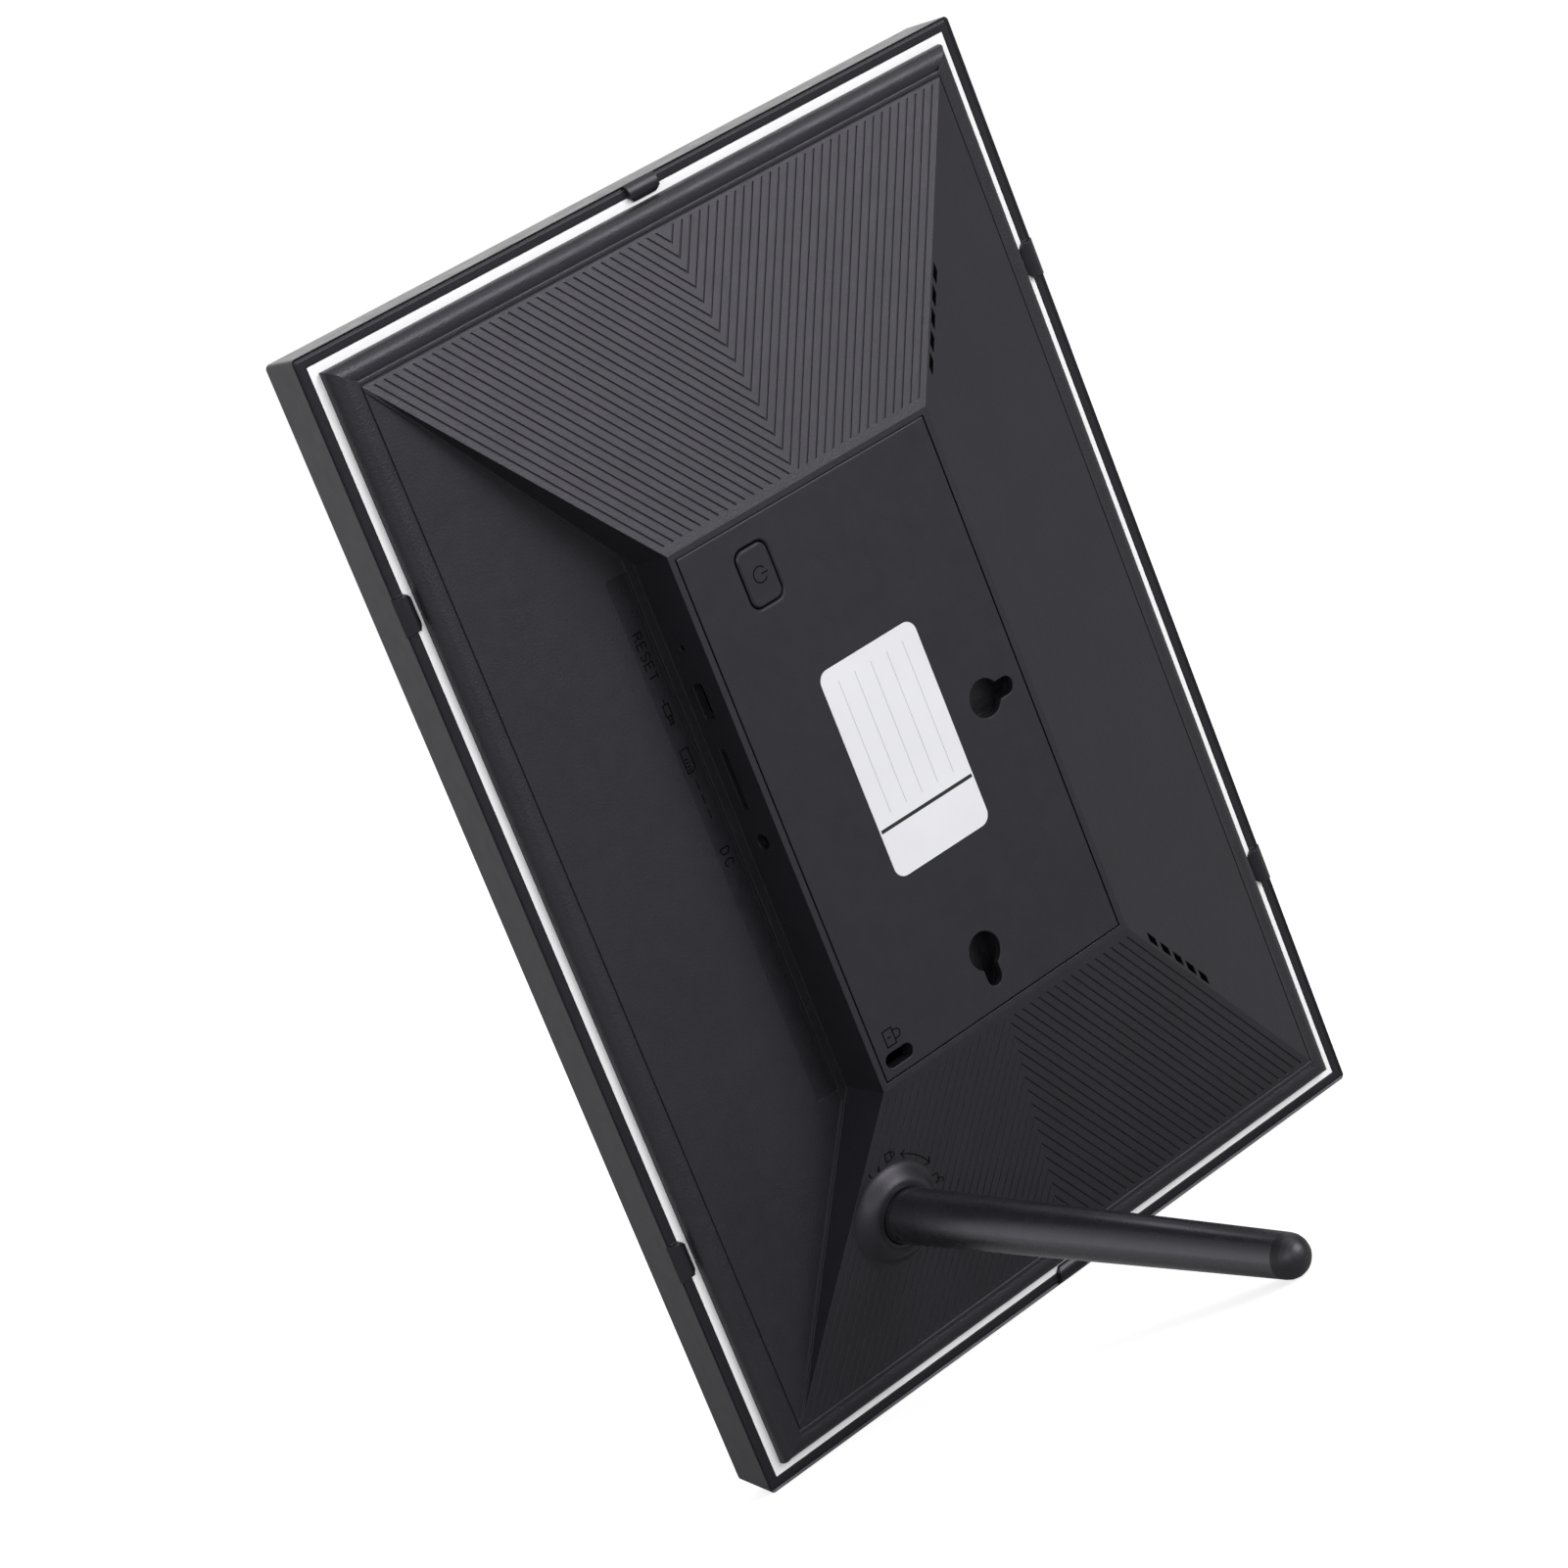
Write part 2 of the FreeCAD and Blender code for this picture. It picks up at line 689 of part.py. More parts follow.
# ---------------------------------------------------------------- rear cover
def lip_prism(half_across, half_along, across_x):
    """Bar with the lip's moulding on both long edges; two of them crossed give mitred corners."""
    edge = half_across
    bead = edge - lip_round_width - lip_flat_width
    groove = bead - lip_bead_width
    bead_top = lip_top + lip_bead_height
    floor = bead_top - lip_groove_depth
    corner_x = 1 - math.cos(math.pi / 4)
    spring = (edge, lip_start)
    crown = (edge - lip_round_width * corner_x,
             lip_start + (lip_top - lip_start) * math.sin(math.pi / 4))
    shoulder = (edge - lip_round_width, lip_top)

    def at(u, y):
        return Vector(u, y, 0) if across_x else Vector(0, y, u)

    edges = []
    for side in (1, -1):
        steps = [(bead, lip_top), (bead - lip_bead_edge, bead_top), (groove, bead_top), (groove, floor),
                 (0, floor)]
        chain = [shoulder] + steps
        edges.append(Part.LineSegment(at(0, ledge_top), at(side * edge, ledge_top)).toShape())
        edges.append(Part.LineSegment(at(side * edge, ledge_top), at(side * edge, lip_start)).toShape())
        edges.append(Part.Arc(at(side * spring[0], spring[1]), at(side * crown[0], crown[1]),
                              at(side * shoulder[0], shoulder[1])).toShape())
        for (u0, y0), (u1, y1) in zip(chain, chain[1:]):
            edges.append(Part.LineSegment(at(side * u0, y0), at(side * u1, y1)).toShape())
    face = Part.Face(Part.Wire(Part.__sortEdges__(edges)))
    run = Vector(0, 0, half_along) if across_x else Vector(half_along, 0, 0)
    bar = face.extrude(run * 2)
    bar.translate(run * -1)
    return bar


def bay_space(shift, end_shift, floor):
    """The bay beside the centre plate, with its long wall and its ends moved back."""
    lower = Vector(0, -1, 0)
    planes = {}
    for side in (1, -1):
        ridge = Vector(ridge_half_width, ridge_height, side * ridge_half_length)
        corner = Vector(foot_half_width, slope_foot, side * foot_half_length)
        base = Vector(ridge_half_width + bay_draft, slope_foot,
                      side * (ridge_half_length - bay_draft_end))
        normal = (corner - ridge).cross(base - ridge).normalize() * side
        if normal.z * side < 0:
            normal = normal * -1
        planes[side] = (normal, normal.dot(ridge) + end_shift)
    back = Vector(-slope_rise, -bay_draft, 0).normalize()
    back_plane = (back, back.dot(Vector(ridge_half_width, ridge_height, 0)) + shift)
    outer_plane = (Vector(1, 0, 0), half_width)
    rings = []
    for level in (floor, ridge_height + cut_reach):
        flat = (Vector(0, 1, 0), level)
        rings.append([meet(flat, back_plane, planes[1]), meet(flat, outer_plane, planes[1]),
                      meet(flat, outer_plane, planes[-1]), meet(flat, back_plane, planes[-1])])
    return convex(rings[0], rings[1])


def cover_outside():
    """Outer form: mitred lip, four slopes rising to the ridge, and the socket bay."""
    lip = lip_prism(cover_half_width, cover_half_length, True).common(
        lip_prism(cover_half_length, cover_half_width, False))
    foot = slab(foot_half_width, foot_half_length, 0, slope_foot)
    rise = frustum((foot_half_width, foot_half_length), slope_foot,
                   (ridge_half_width, ridge_half_length), ridge_height)
    body = fused([lip, foot, rise])
    bay = [bay_space(0, 0, slope_foot + bay_foot_height),
           bay_space(-bay_foot_width, -bay_end_foot_width, slope_foot)]
    return drilled(body, bay + [bay_trough()])


def bay_trough():
    """Shallow slanting dish at the foot of the bay's long wall."""
    start = ridge_half_width + bay_draft + bay_foot_width
    points = [(start, slope_foot + 1), (start + trough_width, slope_foot + 1),
              (start + trough_width, slope_foot), (start, slope_foot - trough_depth)]
    reach = ridge_half_length - bay_draft_end - bay_end_foot_width
    corners = [Vector(x, y, -reach) for x, y in points]
    face = Part.Face(Part.makePolygon(corners + corners[:1]))
    return face.extrude(Vector(0, 0, 2 * reach))


def inner_half(level):
    """Half width and half length of the hollow under the slopes at a depth."""
    side_top = ridge_height - wall / math.cos(side_slope)
    end_top = ridge_height - wall / math.cos(end_slope)
    return (ridge_half_width + (side_top - level) / math.tan(side_slope),
            ridge_half_length + (end_top - level) / math.tan(end_slope))


def cover_hollow():
    """Space inside the rear cover."""
    shelf = lip_top - wall
    room = slab(cover_half_width - skirt_wall, cover_half_length - skirt_wall, ledge_top - 1, shelf)
    rise = frustum(inner_half(shelf - 0.5), shelf - 0.5, inner_half(roof), roof)
    return drilled(fused([room, rise]), [bay_space(wall, wall, slope_foot - wall)])


def key_places():
    """Centre and slot run of the two keyholes: one for each way of hanging the frame."""
    return [(key_side_x, 0.0, (-key_reach, 0)), (0.0, key_end_z, (0, -key_reach))]


def key_pocket(cx, cz, run, extra, y0, y1):
    """Space behind a keyhole in which the screw head slides."""
    radius = key_entry_radius + extra
    return keyhole(cx, cz, run, radius, radius, y0, y1)


def key_cup(cx, cz, run, y0, y1):
    """Square-cornered block round a keyhole's pocket."""
    reach = key_entry_radius + key_pocket_gap + key_cup_wall
    return block(min(cx, cx + run[0]) - reach, max(cx, cx + run[0]) + reach, y0, y1,
                 min(cz, cz + run[1]) - reach, max(cz, cz + run[1]) + reach)


def vents():
    """Slots beside the upper and lower hips of the plain slope."""
    along = Vector(-hip.x, 0, hip.z).normalize()
    tools = []
    for side in (1, -1):
        for i in range(vent_count):
            reach = vent_first + i * vent_pitch
            centre = Vector(-ridge_half_width + along.x * reach, 0,
                            side * (ridge_half_length + along.z * reach - vent_offset))
            step = Vector(along.x, 0, side * along.z) * (vent_length / 2)
            lift = Vector(0, 0, vent_height / 2)
            corners = [centre - step - lift, centre + step - lift, centre + step + lift,
                       centre - step + lift]
            face = Part.Face(Part.makePolygon(corners + corners[:1]))
            tools.append(face.extrude(Vector(0, ridge_height, 0)))
    return tools


def wing_grooves():
    """Chevron grooves of the upper and lower wings, with arms parallel to the hips."""
    rise = hip.z / hip.x
    across = hip.x / hip.Length
    along = hip.z / hip.Length
    step = groove_pitch / across
    ridge_line = ridge_half_length + groove_ridge_margin
    foot_line = foot_half_length - groove_foot_margin
    lowest = ridge_half_length - rise * ridge_half_width + groove_hip_margin / across
    levels = [(-groove_depth, groove_floor / 2), (groove_depth, groove_width - groove_floor / 2)]
    tools = []
    for side in (1, -1):
        vertex = ridge_half_length + groove_first
        while vertex - step > lowest:
            vertex -= step
        while vertex < foot_line - 0.5 * step:
            for hand in (1, -1):
                rings = [groove_ring(side, hand, vertex, rise, shift, half / along, ridge_line, foot_line)
                         for shift, half in levels]
                tools.append(convex(rings[0], rings[1]))
            vertex += step
    return tools


def groove_ring(side, hand, vertex, rise, shift, half, ridge_line, foot_line):
    """Four corners of one arm on the wing's plane moved out by shift; half is its half width along X."""
    first = max(vertex, ridge_line)
    if vertex < ridge_line:
        start = (first - vertex) / rise
        near = [(start - half, first), (start + half, first)]
    else:
        near = [(0, vertex + half * rise), (0, vertex - half * rise)]
    end = (foot_line - vertex) / rise
    plan = near + [(end + half, foot_line), (end - half, foot_line)]
    top = ridge_height + shift / math.cos(end_slope)
    return [Vector(hand * x, top - (z - ridge_half_length) * math.tan(end_slope), side * z) for x, z in plan]


def port_cuts():
    """Openings through the bay's wall for the sockets and the reset pin."""
    x0 = socket_face_x
    x1 = ridge_half_width + bay_draft + bay_foot_width + 0.2
    usb_y = board_top + usb_height / 2
    card_y = board_top + card_height / 2
    jack_y = board_top + jack_height / 2
    reset_y = board_top + reset_height / 2
    usb = block(x0, x1, usb_y - usb_height / 2 - port_gap, usb_y + usb_height / 2 + port_gap,
                usb_z - usb_width / 2 - port_gap, usb_z + usb_width / 2 + port_gap)
    long_edges = [e for e in usb.Edges if abs(e.Vertexes[0].X - e.Vertexes[-1].X) > 1e-6]
    usb = usb.makeFillet(0.9, long_edges)
    card = block(x0, x1, card_y - card_slot_height, card_y + card_slot_height,
                 card_z - card_width / 2 + port_gap, card_z + card_width / 2 - port_gap)
    jack = rod(jack_hole_radius, Vector(x0, jack_y, jack_z), Vector(x1, jack_y, jack_z))
    pin = rod(pinhole_radius, Vector(x0, reset_y, reset_z), Vector(x1, reset_y, reset_z))
    return [usb, card, jack, pin]


def button_opening(gap, y0, y1):
    return rounded_block(button_x, button_z, button_hole_width + 2 * gap,
                         button_hole_length + 2 * gap, button_hole_round + gap, y0, y1)


def lock_slot(y0, y1):
    return rounded_block(lock_slot_x, lock_slot_z, lock_slot_length, lock_slot_width,
                         lock_slot_width / 2 - 0.01, y0, y1)


def plate_pins(radius, y0, y1):
    x = plate_half_width - plate_pin_inset_x
    z = plate_half_length - plate_pin_inset_z
    return [bar(radius, Vector(sx * x, y0, sz * z), Vector(sx * x, y1, sz * z))
            for sx in (-1, 1) for sz in (-1, 1)]


def leg_dome():
    """Round-shouldered boss on the lower wing, around the leg."""
    turns = [math.radians(90 * k / dome_steps) for k in range(dome_steps + 1)]
    shoulder = [(dome_top_radius + (dome_radius - dome_top_radius) * math.cos(t), dome_height * math.sin(t))
                for t in turns]
    return turned([(0, -dome_root), (dome_radius, -dome_root)] + shoulder + [(0, dome_height)], dome_place)


def along_leg(height):
    return leg_foot + leg_axis * height


def socket_ears():
    """Offsets of the socket's two screw ears from the leg's axis."""
    turns = [math.radians(angle) for angle in socket_ear_angles]
    return [leg_place.Rotation.multVec(Vector(math.cos(t), math.sin(t), 0)) * socket_ear_reach
            for t in turns]


def rear_cover():
    """Moulded shell with bay, plate seat, posts, keyhole cups, vents and leg boss."""
    outside = cover_outside()
    seat = slab(plate_half_width + plate_side_gap, plate_half_length + plate_end_gap, plate_floor,
                ridge_height + 1)
    dome = leg_dome()
    backing = rod(dome_radius - 1.5, along_leg(-dome_shell), along_leg(dome_height))
    shell = drilled(outside, [cover_hollow(), seat] + wing_grooves())
    adds = [dome, backing.common(outside.fuse(dome))]
    adds += [bar(post_radius, Vector(x, board_top, z), Vector(x, roof + 0.5, z))
             for x in post_x for z in post_z]
    cup_floor = plate_floor - key_pocket_depth - key_cup_wall
    adds += [key_cup(x, z, run, cup_floor, roof + 0.5) for x, z, run in key_places()]
    adds += [bar(socket_post_radius, along_leg(-dome_shell) + ear, along_leg(dome_height) + ear)
             .common(outside) for ear in socket_ears()]
    shell = fused([shell] + adds + nibs(0))
    cuts = [key_pocket(x, z, run, key_pocket_gap, plate_floor - key_pocket_depth, ridge_height + 1)
            for x, z, run in key_places()]
    cuts += [bar(screw_radius + pilot_clearance, Vector(x, board_top - 1, z),
                 Vector(x, board_top + screw_grip + screw_tip_gap, z)) for x in post_x for z in post_z]
    cuts += [rod(leg_root_radius + leg_bore_gap, along_leg(-dome_shell - cut_reach),
                 along_leg(dome_height + cut_reach))]
    cuts += [bar(screw_radius + pilot_clearance, along_leg(-dome_shell - cut_reach) + ear,
                 along_leg(socket_screw_grip + plunger_end_gap - dome_shell) + ear) for ear in socket_ears()]
    cuts += [button_opening(button_corner_gap, roof - 1, ridge_height), lock_slot(roof - 1, ridge_height)]
    cuts += plate_pins(plate_pin_radius + plate_pin_gap, roof - 1, ridge_height)
    return drilled(shell, cuts + vents() + port_cuts())


def centre_plate():
    """Flat plate in the middle of the back, with keyholes, lock slot and button opening."""
    body = slab(plate_half_width, plate_half_length, plate_floor, ridge_height)
    ends = [e for e in body.Edges if e.Vertexes[0].Y > ridge_height - 1e-6
            and e.Vertexes[-1].Y > ridge_height - 1e-6
            and abs(e.Vertexes[0].Z - e.Vertexes[-1].Z) < 1e-6]
    body = body.makeChamfer(plate_edge_chamfer, ends)
    body = fused([body] + plate_pins(plate_pin_radius, roof, plate_floor + 0.5))
    low = plate_floor - 1
    high = ridge_height + 1
    cuts = [keyhole(x, z, run, key_entry_radius, key_slot_radius, low, high) for x, z, run in key_places()]
    body = drilled(body, cuts + [button_opening(0, low, high), lock_slot(low, high)])
    opening = edges_at(body, lambda p: p.y > ridge_height - 1e-6
                       and abs(p.x - button_x) < 0.6 * button_hole_width
                       and abs(p.z - button_z) < 0.6 * button_hole_length)
    return body.makeChamfer(button_rim_chamfer, opening)


def spec_label():
    return rounded_block(0, 0, label_width, label_length, label_round, ridge_height,
                         ridge_height + label_thickness)


# ---------------------------------------------------------------- power button
def power_button():
    """Rounded cap with a flange under the cover and a stem down to the switch."""
    top = ridge_height + button_proud
    under_roof = roof - button_roof_gap
    cap = rounded_block(button_x, button_z, button_hole_width - 2 * button_gap,
                        button_hole_length - 2 * button_gap, button_hole_round - button_gap,
                        under_roof - button_flange_thickness, top)
    cap = cap.makeChamfer(button_edge_chamfer, edges_at(cap, lambda p: p.y > top - 1e-6))
    flange = block(button_x - button_hole_width / 2 - button_flange,
                   button_x + button_hole_width / 2 + button_flange,
                   under_roof - button_flange_thickness, under_roof,
                   button_z - button_hole_length / 2 - button_flange,
                   button_z + button_hole_length / 2 + button_flange)
    stem = bar(button_stem_radius, Vector(button_x, plunger_top(), button_z),
               Vector(button_x, under_roof, button_z))
    return fused([cap, flange, stem])


def plunger_top():
    return board_top + switch_height + plunger_reach


def power_switch():
    """Push switch on the board under the power button."""
    top = board_top + switch_height
    body = block(button_x - switch_size / 2, button_x + switch_size / 2, board_top, top,
                 button_z - switch_size / 2, button_z + switch_size / 2)
    body = body.makeChamfer(0.4, edges_at(body, lambda p: p.y > top - 1e-6))
    bottom = top - plunger_root - button_travel - plunger_end_gap
    bore = bar(plunger_radius + plunger_gap, Vector(button_x, bottom, button_z),
               Vector(button_x, top + 1, button_z))
    return drilled(body, [bore])


def power_switch_plunger():
    return bar(plunger_radius, Vector(button_x, board_top + switch_height - plunger_root, button_z),
               Vector(button_x, plunger_top(), button_z))


def reset_switch():
    """Side-pressed switch behind the reset pinhole."""
    face = socket_face_x - reset_setback
    body = block(face - reset_length, face, board_top, board_top + reset_height,
                 reset_z - reset_width / 2, reset_z + reset_width / 2)
    axis_y = board_top + reset_height / 2
    bottom = face - plunger_root - reset_travel - plunger_end_gap
    bore = bar(plunger_radius + plunger_gap, Vector(bottom, axis_y, reset_z),
               Vector(face + 1, axis_y, reset_z))
    return drilled(body, [bore])


def reset_plunger():
    face = socket_face_x - reset_setback
    axis_y = board_top + reset_height / 2
    return bar(plunger_radius, Vector(face - plunger_root, axis_y, reset_z),
               Vector(face + reset_plunger_reach, axis_y, reset_z))


# ---------------------------------------------------------------- main board
def main_board():
    body = block(board_x[0], board_x[1], board_bottom, board_top, board_z[0], board_z[1])
    holes = [bar(screw_radius + screw_clearance, Vector(x, board_bottom - 1, z), Vector(x, board_top + 1, z))
             for x in post_x for z in post_z]
    return drilled(body, holes)


def board_screws():
    return Part.makeCompound([screw(Vector(x, board_bottom, z), Vector(0, 1, 0), board_thickness + screw_grip)
                              for x in post_x for z in post_z])


def shield_can():
    """Radio shield: a thin-walled metal lid on the board."""
    x = board_x[0] + shield_inset[0]
    z = board_z[0] + shield_inset[1]
    sx, sy, sz = shield_size
    body = block(x, x + sx, board_top, board_top + sy, z, z + sz)
    inside = block(x + shield_wall, x + sx - shield_wall, board_top - 1, board_top + sy - shield_wall,
                   z + shield_wall, z + sz - shield_wall)
    return drilled(body, [inside])


def board_chips():
    """Processor, memory and power parts on the underside of the board."""
    chips = []
    for (inset_x, inset_z), size, height in zip(chip_insets, chip_widths, chip_heights):
        x = board_x[0] + inset_x
        z = board_z[0] + inset_z
        chips.append(block(x, x + size, board_bottom - height, board_bottom, z, z + size))
    return Part.makeCompound(chips)


def connector_corner():
    return board_x[0] + connector_inset[0], board_z[0] + connector_inset[1]


def display_connector():
    x, z = connector_corner()
    sx, sy, sz = connector_size
    return block(x, x + sx, board_bottom - sy, board_bottom, z, z + sz)


def lcd_ribbon():
    """Flat flexible lead from the board to the back of the screen."""
    x, z = connector_corner()
    mid = x + connector_size[0] / 2
    high = board_bottom - connector_size[1] / 2 - ribbon_thickness / 2
    low = tray_back
    fold, foot, end = ribbon_reach
    path = [(z, high), (z - fold, high), (z - foot, low), (z - end, low)]
    outline = path + [(pz, py + ribbon_thickness) for pz, py in reversed(path)]
    corners = [Vector(mid - ribbon_width / 2, py, pz) for pz, py in outline]
    face = Part.Face(Part.makePolygon(corners + corners[:1]))
    return face.extrude(Vector(ribbon_width, 0, 0))


def usb_socket():
    """Metal shell with a tongue inside."""
    x0 = socket_face_x - usb_length
    body = block(x0, socket_face_x, board_top, board_top + usb_height,
                 usb_z - usb_width / 2, usb_z + usb_width / 2)
    side, thick, setback = usb_tongue
    room = block(x0 + setback, socket_face_x + 1, board_top + usb_shell, board_top + usb_height - usb_shell,
                 usb_z - usb_width / 2 + usb_shell, usb_z + usb_width / 2 - usb_shell)
    middle = board_top + usb_height / 2
    tongue = block(x0, socket_face_x - setback, middle, middle + thick,
                   usb_z - usb_width / 2 + side, usb_z + usb_width / 2 - side)
    return fused([drilled(body, [room]), tongue])


def card_socket():
    """Card socket with an open slot towards the bay."""
    x0 = socket_face_x - card_length
    body = block(x0, socket_face_x, board_top, board_top + card_height,
                 card_z - card_width / 2, card_z + card_width / 2)
    slot = block(x0 + card_back, socket_face_x + 1, board_top + card_slot_floor,
                 board_top + card_slot_floor + card_slot_height,
                 card_z - card_slot_width / 2, card_z + card_slot_width / 2)
    return drilled(body, [slot])


def power_socket():
    """Round power inlet with its centre pin."""
    x0 = socket_face_x - jack_length
    axis_y = board_top + jack_height / 2
    body = block(x0, socket_face_x, board_top, board_top + jack_height,
                 jack_z - jack_width / 2, jack_z + jack_width / 2)
    bore = rod(jack_hole_radius, Vector(x0 + jack_back, axis_y, jack_z),
               Vector(socket_face_x + 1, axis_y, jack_z))
    pin = rod(jack_pin_radius, Vector(x0 + jack_back / 2, axis_y, jack_z),
              Vector(socket_face_x - jack_pin_setback, axis_y, jack_z))
    return fused([drilled(body, [bore]), pin])


# ---------------------------------------------------------------- sound and radio
def speaker(side):
    """Flat boxed speaker with a round cone facing the vents."""
    sx, sy, sz = speaker_size
    top = speaker_base + sy
    centre_z = side * speaker_z
    body = block(speaker_x - sx / 2, speaker_x + sx / 2, speaker_base, top, centre_z - sz / 2,
                 centre_z + sz / 2)
    low = Vector(speaker_x, top - speaker_cone_depth, centre_z)
    high = Vector(speaker_x, top + 1, centre_z)
    dome = bar(speaker_cone_radius / 2, low, low + Vector(0, speaker_cone_rise, 0), 16)
    return fused([drilled(body, [bar(speaker_cone_radius, low, high, 16)]), dome])


def speaker_gaskets():
    """Foam frames that seal each speaker to the inside of the slope."""
    hollow = cover_hollow()
    sx, sy, sz = speaker_size
    frames = []
    for side in (1, -1):
        low = speaker_base + sy
        centre_z = side * speaker_z
        outer = block(speaker_x - sx / 2, speaker_x + sx / 2, low, ridge_height, centre_z - sz / 2,
                      centre_z + sz / 2)
        inner = block(speaker_x - sx / 2 + speaker_gasket_wall, speaker_x + sx / 2 - speaker_gasket_wall,
                      low - 1, ridge_height + 1, centre_z - sz / 2 + speaker_gasket_wall,
                      centre_z + sz / 2 - speaker_gasket_wall)
        frames.append(outer.cut(inner).common(hollow))
    return Part.makeCompound(frames)


def plug_corners():
    """Board edge places at which the speakers plug in, upper one first."""
    return [(board_x[0] + plug_inset, board_z[0] + place) for place in plug_places]


def speaker_sockets():
    sx, sy, sz = plug_size
    return Part.makeCompound([block(x, x + sx, board_bottom - sy, board_bottom, z, z + sz)
                              for x, z in plug_corners()])


def speaker_leads():
    """One lead from each speaker to its socket on the board."""
    leads = []
    edge = speaker_x + speaker_size[0] / 2
    y = speaker_base + lead_height
    plug_y = board_bottom - plug_size[1] / 2
    for (x, z), side in zip(plug_corners(), (1, -1)):
        end_z = z + plug_size[2] / 2
        start_z = side * (speaker_z - lead_exit)
        route = [Vector(edge, y, start_z), Vector(edge + lead_run, y, start_z),
                 Vector(x - lead_run, plug_y, end_z), Vector(x, plug_y, end_z)]
        leads.append(lead(route, lead_radius))
    return Part.makeCompound(leads)


def wifi_antenna():
    sx, sy, sz = antenna_size
    return block(antenna_x - sx / 2, antenna_x + sx / 2, roof - sy, roof,
                 antenna_z - sz / 2, antenna_z + sz / 2)


def antenna_lead():
    """Thin coaxial lead from the antenna to its snap plug on the board."""
    y = roof - antenna_size[1] - coax_radius
    plug = Vector(board_x[0] + coax_plug_inset[0], board_top, board_z[0] + coax_plug_inset[1])
    half = Vector(0, coax_plug_height / 2, 0)
    start, bend, end = coax_runs
    route = [Vector(antenna_x, y, antenna_z - start), Vector(antenna_x + coax_radius, y, antenna_z - bend),
             plug + half + Vector(0, 0, end), plug + half]
    cap = bar(coax_plug_radius, plug, plug + half * 2)
    return fused([lead(route, coax_radius), cap])


# ---------------------------------------------------------------- stand
def stand_socket():
    """Bayonet socket screwed under the boss: bore, two turning chambers and two entry slots."""
    top = -dome_shell
    cavity_floor = spigot_end - lug_gap
    chamber_top = spigot_end + lug_height + lug_gap
    ear_low = top - socket_ear_thickness
    body = rod(socket_radius, along_leg(cavity_floor - socket_floor), along_leg(top))
    ears = [bar(socket_ear_radius, along_leg(ear_low) + ear, along_leg(top) + ear)
            for ear in socket_ears()]
    arms = []
    for angle in socket_ear_angles:
        arm = Part.makeBox(socket_ear_reach, 2 * socket_ear_radius, socket_ear_thickness,
                           Vector(0, -socket_ear_radius, ear_low))
        arm.rotate(Vector(0, 0, 0), Vector(0, 0, 1), angle)
        arm.Placement = leg_place.multiply(arm.Placement)
        arms.append(arm)
    cuts = [rod(spigot_radius + spigot_gap, along_leg(cavity_floor), along_leg(top + 1))]
    for side in (0, 180):
        cuts.append(lug(side, -twist_range / 2, lug_angle + twist_range + 2 * lug_end_gap,
                        lug_radius + lug_gap, cavity_floor, chamber_top))
        cuts.append(lug(side, -twist_range, lug_angle + 2 * lug_end_gap, lug_radius + lug_gap,
                        cavity_floor, top + 1))
    cuts += [bar(screw_radius + screw_clearance, along_leg(ear_low - 1) + ear, along_leg(top + 1) + ear)
             for ear in socket_ears()]
    return drilled(fused([body] + arms + ears), cuts)


def lug(side, turn, angle, radius, low, high):
    """Wedge of a ring about the leg's axis; side picks one of the pair, turn moves both."""
    wedge = Part.makeCylinder(radius, high - low, Vector(0, 0, low), Vector(0, 0, 1), angle)
    wedge.rotate(Vector(0, 0, 0), Vector(0, 0, 1), 90 + side + turn - angle / 2)
    core = Part.makeCylinder(spigot_radius - 0.5, high - low, Vector(0, 0, low))
    wedge = wedge.cut(core)
    wedge.Placement = leg_place.multiply(wedge.Placement)
    return wedge


def socket_screws():
    seat = -dome_shell - socket_ear_thickness
    depth = socket_ear_thickness + socket_screw_grip
    return Part.makeCompound([screw(along_leg(seat) + ear, leg_axis, depth) for ear in socket_ears()])


def stand_leg():
    """Tapered leg with a bayonet spigot at its root and a peg for the rubber tip."""
    shaft_end = leg_length - cap_skirt
    taper = (leg_root_radius - leg_tip_radius) / (leg_length - dome_height)
    shaft_end_radius = leg_tip_radius + taper * cap_skirt
    peg_end = shaft_end + cap_peg_length
    profile = [(0, spigot_end), (spigot_radius, spigot_end), (spigot_radius, spigot_root),
               (leg_root_radius, spigot_root), (leg_root_radius, dome_height),
               (shaft_end_radius, shaft_end), (cap_peg_radius, shaft_end), (cap_peg_radius, peg_end),
               (0, peg_end)]
    body = turned(profile, leg_place)
    lugs = [lug(side, 0, lug_angle, lug_radius, spigot_end, spigot_end + lug_height) for side in (0, 180)]
    return fused([body] + lugs)


def leg_tip():
    """Rubber cap with a round end."""
    turns = [math.radians(90 * k / tip_steps) for k in range(tip_steps + 1)]
    start = leg_length - cap_skirt
    ball = [(leg_tip_radius * math.cos(t), leg_length + leg_tip_radius * math.sin(t)) for t in turns[:-1]]
    profile = [(cap_peg_radius, start), (leg_tip_radius, start)] + ball
    profile += [(0, leg_length + leg_tip_radius), (0, start + cap_peg_length),
                (cap_peg_radius, start + cap_peg_length)]
    return turned(profile, leg_place)


# ---------------------------------------------------------------- assembly
def stand_up(shape):
    """Lean a finished piece back and set it on the floor, centred in depth."""
    placed = shape.copy()
    placed.rotate(Vector(0, 0, 0), Vector(1, 0, 0), -math.degrees(lean))
    placed.translate(Vector(0, -(nearest + farthest) / 2, -floor_level))
    return placed


